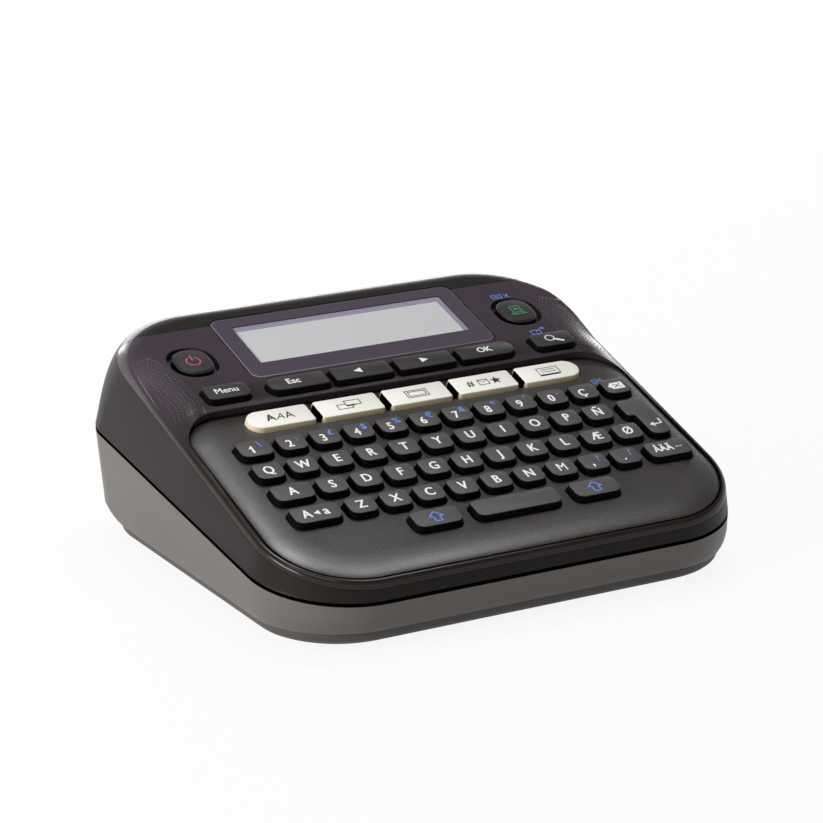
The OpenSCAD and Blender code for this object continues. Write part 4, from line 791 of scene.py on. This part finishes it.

# Display lens: printed border round the window, set in a fine gap; its sides are painted black as shade, its softened
# edge is lighter as a painted highlight, and a lavender band along the top and right of the window is painted shade of
# the window's inner wall
lens = prism(LENS, -LENS_T - 0.05, LENS_TOP, 12)
soften(lens, top_rim(lens, LENS_TOP), 0.3, 4)
lens = carve(lens, [prism(box_corners(-36.6, 30.7, 36.6, 52.2, 0.5, 0.5), -0.3, 1, 3)])
# Sides and the window's walls get black painted shade, the flat top the bezel, and the softened edge a lighter painted
# highlight
for face in lens.faces:
    face.material_index = 3 if face.normal.z < 0.2 else 0 if face.normal.z > 0.99 else 4
# The field stops short of the top and right, where a lavender band shows beneath it: painted shade of the window's
# inner wall
field = prism(box_corners(-36.55, 30.75, 34.6, 49.4, 0.3, 0.3), -0.35, -0.24, 3)
wall_shade_band = prism(box_corners(-36.58, 30.72, 36.58, 52.18, 0.5, 0.5), -0.36, -0.27, 3)
rounded_piece("display_window", joined([(lens, PANEL, None), (wall_shade_band, PANEL, 1), (field, PANEL, 2)]), "body", [
    LOOKS["lens"], polished("Display Wall Painted Shade", (150, 143, 164), (0.2, 0.3)), LOOKS["display"], SHADOW_LINE,
    polished("Bezel Edge Painted Highlight", (124, 116, 130), (0.1, 0.16))], "lens", ["display_lens"])

JOINT_Z, COVER_Z, FOOT_H = 5.6, 5.3, 0.9
LOWER_RINGS = ((2.3, 10, JOINT_Z), (1.5, 9, JOINT_Z + 1.2), (0.8, 7, JOINT_Z + 2.9), (0.3, 5, JOINT_Z + 5.2))
COVER_RINGS = ((7.4, 6, FOOT_H), (4.7, 8, FOOT_H + 1.2), (3.3, 9, FOOT_H + 2.6), (2.9, 9.4, COVER_Z))
PROUD = 0.01


def smooth_steps(rows):
    """The same rows with one more between each pair, eased towards a curve."""
    rows = [list(r) for r in rows]
    out = [rows[0]]
    for k in range(1, len(rows)):
        a, b = rows[k - 1], rows[k]
        before, after = rows[max(0, k - 2)], rows[min(len(rows) - 1, k + 1)]
        middle = [(9 * (p + q) - u - w) / 16 for p, q, u, w in zip(a, b, before, after)]
        out += [middle, b]
    return out


def band(rows, deep, top=None):
    """A thin closed skin that gives coarse corners their true round; it stands a hair proud of the CAD."""
    outer, inner = bmesh.new(), bmesh.new()
    rings = [low_ring(outer, i - PROUD, r + PROUD, lambda y, z=z: z) for i, r, z in smooth_steps(rows)]
    inside = [low_ring(inner, i + deep, max(r - deep, -6), lambda y, z=z: z) for i, r, z in rows]
    inside.insert(0, low_ring(inner, rows[0][0] + deep, rows[0][1] - deep, lambda y: rows[0][2] - 3))
    if top:
        rings.append(low_ring(outer, -PROUD, PROUD, lambda y: top(y) - PROUD))
        inside.append(low_ring(inner, deep, -deep, lambda y: top(y) + 2))
    else:
        inside.append(low_ring(inner, rows[-1][0] + deep, rows[-1][1] - deep, lambda y: rows[-1][2] + 3))
    return carve(loft(outer, rings), [loft(inner, inside)])


def flat_underside(made):
    """The flat underside keeps a crisp edge, so that its normals stay level round the screw holes."""
    count = {}
    for face in made.data.polygons:
        if face.normal.z < -0.999:
            for key in face.edge_keys:
                count[key] = count.get(key, 0) + 1
    for edge in made.data.edges:
        if count.get(edge.key) == 1:
            edge.use_edge_sharp = True


rear_gap = prism(box_corners(-49.5, 55, 49.5, 90, 0, 0), 0, 60, 1)
sides = carve(band(LOWER_RINGS, 0.9, lambda y: split(y) - SEAT), [rear_gap])
lower = carve(merged_cad("lower_housing"), [sides], "UNION")
# Upward faces just under the parting line are painted black, as shade in the groove
for face in lower.faces:
    if face.normal.z > 0.6 and abs(over_split(face)) < 0.5:
        face.material_index = 1
flat_underside(rounded_piece("lower_shell", lower, "body", [LOOKS["lower_shell"], SHADOW_LINE],
                             "lower_shell", ["lower_housing"], 24))
rounded_piece("cover_tray", carve(merged_cad("back_cover"), [band(COVER_RINGS, 1.2)], "UNION"), "cover",
              [LOOKS["cover"]], "cover", ["back_cover"], 24)

# Grips: a crescent of fine raised dots on each side of the panel, with a raised line along its inner edge; dots and
# line are coloured lighter than the face as a painted highlight
CRESCENT = ((9.5, 65.0), (15.7, 63.6), (24.0, 64.5), (33.0, 65.3), (38.0, 66.4), (42.8, 69.0))
GRIP_V, GRIP_PITCH, GRIP_ROWS, GRIP_DOT_R, GRIP_EDGE = 10.6, 1.42, 23, 0.24, 74.8
LINE_V = (9.8, 12.5, 15.7, 20, 24, 29, 33, 36, 38, 40, 42.8)
LINE_END = (75.0, 40.2)


def crescent_x(v):
    for (v0, x0), (v1, x1) in zip(CRESCENT, CRESCENT[1:]):
        if v <= v1:
            return mix(x0, x1, (v - v0) / (v1 - v0))
    return CRESCENT[-1][1]


def rim_x(y):
    """Half width of the top surface, which draws in round the rear corners."""
    cy = rear_y(1) - TOP_REAR_R
    return TOP_HW if y <= cy else TOP_HW - TOP_REAR_R + sqrt(max(0, TOP_REAR_R ** 2 - (y - cy) ** 2))


def top_point(side, x, y):
    """A point of the top surface beside the panel."""
    return Vector((side * x, y, shoulder(ramp(rim_x(y) - abs(side * x), 0, rim_x(y) - PANEL_HW), y)))


def dot(bm, place, r):
    bmesh.ops.create_icosphere(bm, subdivisions=1, radius=r, matrix=Matrix.Translation(place)
                               @ Matrix.Rotation(radians(PANEL_TILT), 4, "X") @ Matrix.Diagonal((1, 1, 0.55, 1)))


dots, line = bmesh.new(), []
for side in (-1, 1):
    for row in range(GRIP_ROWS):
        v = GRIP_V + row * GRIP_PITCH
        x, y = crescent_x(v) + 1.0, level_y(v)
        while x < min(rim_x(y) - 1.0, GRIP_EDGE - max(0, v - 38) * 0.5):
            dot(dots, top_point(side, x, y), GRIP_DOT_R)
            x += GRIP_PITCH
    edge = [(crescent_x(v), level_y(v)) for v in LINE_V] + [(LINE_END[0], level_y(LINE_END[1]))]
    for near, far in zip(edge, edge[1:]):
        a, b = top_point(side, *near), top_point(side, *far)
        bar = prism(centred(0, 0, (b - a).length + 0.1, 0.16, 0), -0.02, 0.035, 1)
        line.append((bar, Matrix.Translation((a + b) / 2) @ (b - a).to_track_quat("X", "Z").to_matrix().to_4x4(), None))
# Dots and line are coloured lighter than the face: a painted highlight on their raised relief
piece("grip_dots", dots, "body", [polished("Grip Dot Painted Highlight", (78, 72, 76), (0.2, 0.3))], "gloss_frame")
piece("grip_highlight_lines", joined(line), "body", [polished("Grip Line Painted Highlight", (88, 80, 86), (0.15, 0.25))], "gloss_frame")

# Painted shadow: a black ribbon along the gap between the keyboard plate and the face round it
path = bmesh.new()
gap_shadow_path = [(v.co.x, v.co.y) for v in rounded(path, grown(PLATE, 0.05), 0, CORNER).verts]
path.free()
piece("plate_gap_shadow", joined([(stroke(gap_shadow_path, 0.5, True), on(DECK, 0, 0, -EDGE_DROP + 0.55), None)]), "body",
      [SHADOW_LINE], "gloss_frame")

# Ribs between the panel's front keys, and fine bumps in front of them
ribs = [(prism(centred((a + b) / 2, 15.4, 0.3, 6.4, 0.1), -0.3, 0.55, 2), PANEL, None)
        for a, b in zip(NAV_X, NAV_X[1:])]
piece("nav_ribs", joined(ribs), "body", [LOOKS["gloss_frame"]], "gloss_frame")
BUMP_PITCH, BUMP_R = 0.92, 0.22
bumps = bmesh.new()
for first, last, v in ((-42.0, 43.2, 11.35), (-61.0, -49.0, 11.75), (51.6, 64.4, 11.35)):
    for k in range(int((last - first) / BUMP_PITCH) + 1):
        dot(bumps, (first + k * BUMP_PITCH, level_y(v), shoulder(1, level_y(v))), BUMP_R)
piece("key_front_bumps", bumps, "body", [polished("Front Bump", (60, 54, 58), (0.2, 0.3))], "gloss_frame")


# Small printed signs on the panel and the plate
def painted(plane, x, v, lines, width, closed=False):
    """Lines of one width round a place on a plane."""
    return [(stroke(points, width, closed), on(plane, x, v, 0), None) for points in lines]


def cross(x, y):
    return [[(-x, -y), (x, y)], [(-x, y), (x, -y)]]


LABEL_SIGN = [rectangle(-1.7, -1.1, 1.7, 1.1)]
piece("panel_signs", joined([
    *painted(PANEL, 55.0, 46.4, LABEL_SIGN, 0.26, True),
    *painted(PANEL, 55.0, 46.4, [[(-0.9, y), (0.9, y)] for y in (0.35, -0.35)], 0.22),
    *painted(PANEL, 58.5, 46.4, cross(0.7, 0.9), 0.3), *painted(PANEL, 56.6, 23.3, LABEL_SIGN, 0.26, True),
    *painted(PANEL, 56.6, 23.3, [[(0.2, 0.2), (2.6, 1.9)]], 0.26),
    (patch([(2.1, 0.9), (3.3, 0.9), (2.7, 2.3)]), on(PANEL, 57.1, 23.7, 0), None)]), "body", [BLUE_INK], "gloss_frame")
piece("deck_signs", joined([
    *painted(DECK, 62.4, -5.3, LABEL_SIGN, 0.26, True), *painted(DECK, 62.4, -5.3, cross(1.2, 0.7), 0.24)]), "body",
    [BLUE_INK], "deck_plate")

# ---- Legends of the keyboard: plain letters, numbers and signs ----
LETTER, SECOND = 5.2, 3.7
BOLD = 0.11


def legends_piece(node, marks):
    """Printed marks of a key node; each is (mesh, frame, ink)."""
    inks, parts = [], []
    for bm, place, ink in marks:
        if ink not in inks:
            inks.append(ink)
        parts.append((bm, place, inks.index(ink)))
    piece(node + "_legends", joined(parts), body_of(node), inks, SLOT_OF[node], smooth=20)


def deck_mark(bm, x, v, ink=WHITE_INK, lift=0.0):
    return bm, on(DECK, x, v, KEY_RISE + lift), ink


def letter_mark(text, x, row, dx=0.0, dv=0.0, size=LETTER, weight=BOLD, squeeze=0.82):
    return deck_mark(bold(text, size, weight, squeeze), x + dx, row_v(row) + dv)


def second_mark(text, x, row, dx, dv, size=SECOND):
    """The small blue sign at a key's far corner."""
    return deck_mark(lettering(text, size, 0.03), x + dx, row_v(row) + dv, BLUE_INK)


number_marks = []
for text, extra, x in zip("1234567890Ç", ("\\", ":", "£", "$", "%", "€", "&", "*", "'", "-", ""), NUMBER_X):
    number_marks.append(letter_mark(text, x, 0, -1.0, -0.8, 4.9))
    if extra:
        number_marks.append(second_mark(extra, x, 0, 2.0, 1.4))
number_marks.append(deck_mark(stroke([(-0.75, 0.85), (0.1, 1.55)], 0.42), NUMBER_X[0] - 1.0, row_v(0) - 0.8))
legends_piece("number_keys", number_marks)
legends_piece("upper_letter_keys", [letter_mark(t, x, 1) for t, x in zip("QWERTYUIOPÑ", UPPER_X)])
legends_piece("home_letter_keys", [letter_mark(t, x, 2) for t, x in zip("ASDFGHJKLÆØ", HOME_X)])
lower_marks = [letter_mark(t, x, 3, weight=0.04 if t == "M" else BOLD) for t, x in zip("ZXCVBNM", LOWER_X)]
for text, extra, x in ((",", "?", LOWER_X[7]), (".", "/", LOWER_X[8])):
    lower_marks += [letter_mark(text, x, 3, -1.0, -0.4), second_mark(extra, x, 3, 1.8, 1.0, 4.0)]
legends_piece("lower_letter_keys", lower_marks)
legends_piece("caps_key", [
    letter_mark("A", CAPS_X, 3, -3.0), letter_mark("a", CAPS_X, 3, 3.2, 0.2),
    deck_mark(patch([(-1.0, 0), (0.9, -1.1), (0.9, 1.1)]), -56.2, row_v(3))])
legends_piece("accent_key", [
    letter_mark("ÅÄÃ", 62.3, 3, -1.5, 0, 4.1, weight=0.09, squeeze=0.8),
    *[deck_mark(patch(ring_points(0, 0, 0.26, 0, 315, 7)), 65.3 + 0.85 * k, row_v(3) - 0.1) for k in range(3)]])
legends_piece("backspace_key", [
    deck_mark(patch([(-2.9, 0), (-1.5, -1.7), (2.6, -1.7), (2.6, 1.7), (-1.5, 1.7)]), BACKSPACE_X, row_v(0)),
    *[deck_mark(stroke([(-0.7, -y), (1.4, y)], 0.28), BACKSPACE_X, row_v(0), BLACK_INK, INK * 0.6)
      for y in (0.9, -0.9)]])
legends_piece("enter_key", [
    deck_mark(stroke([(1.9, 1.7), (1.9, -0.6), (-1.2, -0.6)], 0.5), 66.0, row_v(2) + 1.6),
    deck_mark(patch([(-2.3, -0.6), (-0.6, -1.8), (-0.6, 0.6)]), 66.0, row_v(2) + 1.6)])
SHIFT_ARROW = [(0, 2.4), (2.3, 0.1), (1.05, 0.1), (1.05, -2.1), (-1.05, -2.1), (-1.05, 0.1), (-2.3, 0.1)]
for node, x in zip(("shift_left_key", "shift_right_key"), SHIFT_X):
    legends_piece(node, [deck_mark(stroke(SHIFT_ARROW, 0.42, True), x, row_v(4), BLUE_INK)])


def white_mark(i, bm, dx=0.0, lift=0.0, ink=BLACK_INK):
    return bm, on(DECK, WHITE_X[i] + dx, WHITE_V, WHITE_RISE + lift), ink


legends_piece("text_style_key", [
    white_mark(0, lettering("A", 4.4, 0.12), -2.9), white_mark(0, lettering("A", 4.0, lean=0.3), 0.1),
    white_mark(0, lettering("A", 4.4, 0.02), 3.3)])
legends_piece("label_type_key", [
    white_mark(1, stroke(rectangle(-3.9, -1.7, 0.9, 0.6), 0.3, True)),
    white_mark(1, prism(centred(1.6, 0.9, 4.9, 2.4, 0.05), -INK / 2, INK / 2), lift=INK * 0.5, ink=LOOKS["white_key"]),
    white_mark(1, stroke(rectangle(-0.9, -0.3, 4.1, 2.1), 0.3, True), lift=INK),
    white_mark(1, patch(rectangle(-0.9, -0.75, 2.0, 0.0)), lift=INK)])
legends_piece("frame_key", [
    white_mark(2, stroke(rectangle(-x, -y, x, y), 0.3, True)) for x, y in ((3.6, 1.8), (2.8, 1.1))])
STAR = [(r * cos(radians(turn)), r * sin(radians(turn)))
        for r, turn in [(2.0 * (0.42 if k % 2 else 1), 90 + 36 * k) for k in range(10)]]
legends_piece("symbol_key", [
    white_mark(3, lettering("#", 4.2, 0.05), -4.6), white_mark(3, stroke(rectangle(-1.7, -1.3, 1.7, 1.3), 0.3, True)),
    white_mark(3, stroke([(-1.7, 1.3), (0, -0.1), (1.7, 1.3)], 0.2)), white_mark(3, patch(STAR), 4.3)])
legends_piece("file_key", [
    white_mark(4, stroke(rectangle(-3.6, -1.5, 3.6, 2.0), 0.26, True)),
    *[white_mark(4, stroke([(-2.4, y), (2.4, y)], 0.26)) for y in (1.0, -0.2)],
    white_mark(4, patch([(-3.6, -1.5), (3.6, -1.5), (3.0, -2.2), (-4.0, -2.2)]))])


def panel_mark(bm, x, v, ink=WHITE_INK, rise=PANEL_RISE):
    return bm, on(PANEL, x, v, rise), ink


legends_piece("power_key", [
    panel_mark(stroke(points, 0.46), *POWER_XV, PINK_INK, ROUND_RISE)
    for points in (ring_points(0, -0.2, 2.2, 122, 418, 20), [(0, 0.5), (0, 2.7)])])
legends_piece("print_key", [
    panel_mark(stroke(rectangle(-1.6, -1.2, 1.6, 2.4), 0.4, True), *PRINT_XV, GREEN_INK, ROUND_RISE),
    panel_mark(stroke([(-1.6, -1.2), (-2.6, -2.2), (2.6, -2.2), (1.6, -1.2)], 0.4), *PRINT_XV, GREEN_INK, ROUND_RISE),
    panel_mark(lettering("A", 2.6, 0.03), 56.7, 37.0, GREEN_INK, ROUND_RISE)])
legends_piece("menu_key", [panel_mark(bold("Menu", 3.9, 0.03), -55, 16.6)])
legends_piece("escape_key", [panel_mark(bold("Esc", 3.9, 0.06), NAV_X[0] - 1.2, 15.8)])
legends_piece("ok_key", [panel_mark(bold("OK", 3.8, 0.06), NAV_X[3] - 0.4, 15.8)])
legends_piece("cursor_left_key", [panel_mark(patch([(-1.6, 0), (1.1, -1.3), (1.1, 1.3)]), NAV_X[1] - 1.0, 15.8)])
legends_piece("cursor_right_key", [panel_mark(patch([(1.6, 0), (-1.1, 1.3), (-1.1, -1.3)]), NAV_X[2], 15.8)])
legends_piece("preview_key", [
    panel_mark(stroke(ring_points(-0.7, 0.5, 1.5, 0, 360, 20), 0.5), *PREVIEW_XV),
    panel_mark(stroke([(0.5, -0.4), (2.9, -1.9)], 0.9), *PREVIEW_XV)])

# ---- Every other CAD solid, merged, shaded smooth and given its finish ----
for node, held in nodes.items():
    if not held.hide_render:
        slot = SLOT_OF[node]
        piece(node + "_dressed", merged_cad(node), body_of(node), [LOOKS[slot]], slot, [node], 28.0)

# ---- Set: floor, light and camera ----
floor_mesh = bpy.data.meshes.new("floor")
bm = bmesh.new()
bmesh.ops.create_grid(bm, x_segments=1, y_segments=1, size=6.0)
bm.to_mesh(floor_mesh)
bm.free()
floor = linked("floor", floor_mesh)


def larger(tree, a, b):
    return add(tree, "ShaderNodeMath", {"operation": "MAXIMUM"}, {0: a, 1: b}).outputs[0]


def part_of(tree, value, share):
    return add(tree, "ShaderNodeMath", {"operation": "MULTIPLY"}, {0: value, 1: share}).outputs[0]


def light_paths(tree):
    """Rays that see a surface straight or through something clear, and rays that gloss sends back."""
    rays = add(tree, "ShaderNodeLightPath").outputs
    return larger(tree, rays["Is Camera Ray"], rays["Is Transmission Ray"]), rays["Is Glossy Ray"]


paper, tree, shader = principled("White Sweep")
shader.inputs["Base Color"].default_value = (0.76, 0.76, 0.76, 1)
shader.inputs["Roughness"].default_value = 0.9
seen, mirrored = light_paths(tree)
glow = add(tree, "ShaderNodeEmission", None, {"Color": (1, 1, 1, 1), "Strength": 1.0})
share = larger(tree, part_of(tree, seen, 0.9), part_of(tree, mirrored, 0.45))
blend = add(tree, "ShaderNodeMixShader", None, {0: share, 1: shader.outputs[0], 2: glow.outputs[0]})
tree.links.new(blend.outputs[0], tree.nodes["Material Output"].inputs["Surface"])
floor_mesh.materials.append(paper)

# A white sweep low down all round, darker overhead in what gloss reflects
world = bpy.data.worlds.new("Studio")
bpy.context.scene.world = world
world.use_nodes = True
tree = world.node_tree
back = tree.nodes["Background"]
seen, mirrored = light_paths(tree)
look = add(tree, "ShaderNodeSeparateXYZ", None, {0: add(tree, "ShaderNodeTexCoord").outputs["Generated"]})
sweep = add(tree, "ShaderNodeMapRange", {"interpolation_type": "SMOOTHSTEP"},
            {"Value": look.outputs["Z"], "From Min": 0.3, "From Max": 0.62, "To Min": 1.0, "To Max": 0.1})
plain = add(tree, "ShaderNodeMix", {"data_type": "FLOAT"}, {0: mirrored, 2: 0.2, 3: sweep.outputs["Result"]})
strength = add(tree, "ShaderNodeMix", {"data_type": "FLOAT"}, {0: seen, 2: plain.outputs[0], 3: 1.0})
tree.links.new(strength.outputs[0], back.inputs["Strength"])
back.inputs["Color"].default_value = (1, 1, 1, 1)


def lamp(name, place, target, size, watts, size_y=None):
    """A soft rectangular lamp, in metres, turned towards its target."""
    data = bpy.data.lights.new(name, "AREA")
    data.shape, data.size, data.size_y, data.energy = "RECTANGLE", size, size_y or size, watts
    made = linked(name, data)
    made.location = place
    made.rotation_euler = (Vector(target) - Vector(place)).to_track_quat("-Z", "Y").to_euler()


BODY_MIDDLE = (0, 0, 0.03)
lamp("key_left", (-0.98, -0.1, 0.32), BODY_MIDDLE, 0.55, 10.0, 0.4)
lamp("overhead", (0.08, 0.28, 0.93), BODY_MIDDLE, 0.16, 1.8)
lamp("overhead_right", (0.33, 0.1, 0.9), BODY_MIDDLE, 0.2, 1.2)
lamp("front_left", (-0.3, -0.25, 0.85), BODY_MIDDLE, 0.55, 1.6, 0.16)
lamp("rear_sheet", (-0.05, 0.72, 0.78), (0, 0.02, 0.04), 0.7, 0.4, 0.6)
lamp("rear_low", (0.45, 1.1, 0.26), (0, 0, 0.05), 1.2, 9.0, 0.4)

# Camera, in metres and radians: it looks at the body's middle from the front left and above
AZIMUTH, ELEVATION, ROLL = 0.4947, 0.2936, -0.0153
DISTANCE, LENS_LENGTH = 0.96983, 139.24
OFF_RIGHT, OFF_UP = 0.00075, -0.01272
ahead = Vector((sin(AZIMUTH) * cos(ELEVATION), cos(AZIMUTH) * cos(ELEVATION), -sin(ELEVATION)))
level_right = Vector((cos(AZIMUTH), -sin(AZIMUTH), 0))
level_up = level_right.cross(ahead)
right = cos(ROLL) * level_right + sin(ROLL) * level_up
up = -sin(ROLL) * level_right + cos(ROLL) * level_up
camera_data = bpy.data.cameras.new("camera")
camera_data.lens = LENS_LENGTH
camera = linked("camera", camera_data)
where = Vector(BODY_MIDDLE) - OFF_RIGHT * right - OFF_UP * up - DISTANCE * ahead
camera.matrix_world = Matrix.Translation(where) @ Matrix((right, up, -ahead)).transposed().to_4x4()
bpy.context.scene.camera = camera
bpy.context.scene.view_settings.view_transform = "Standard"
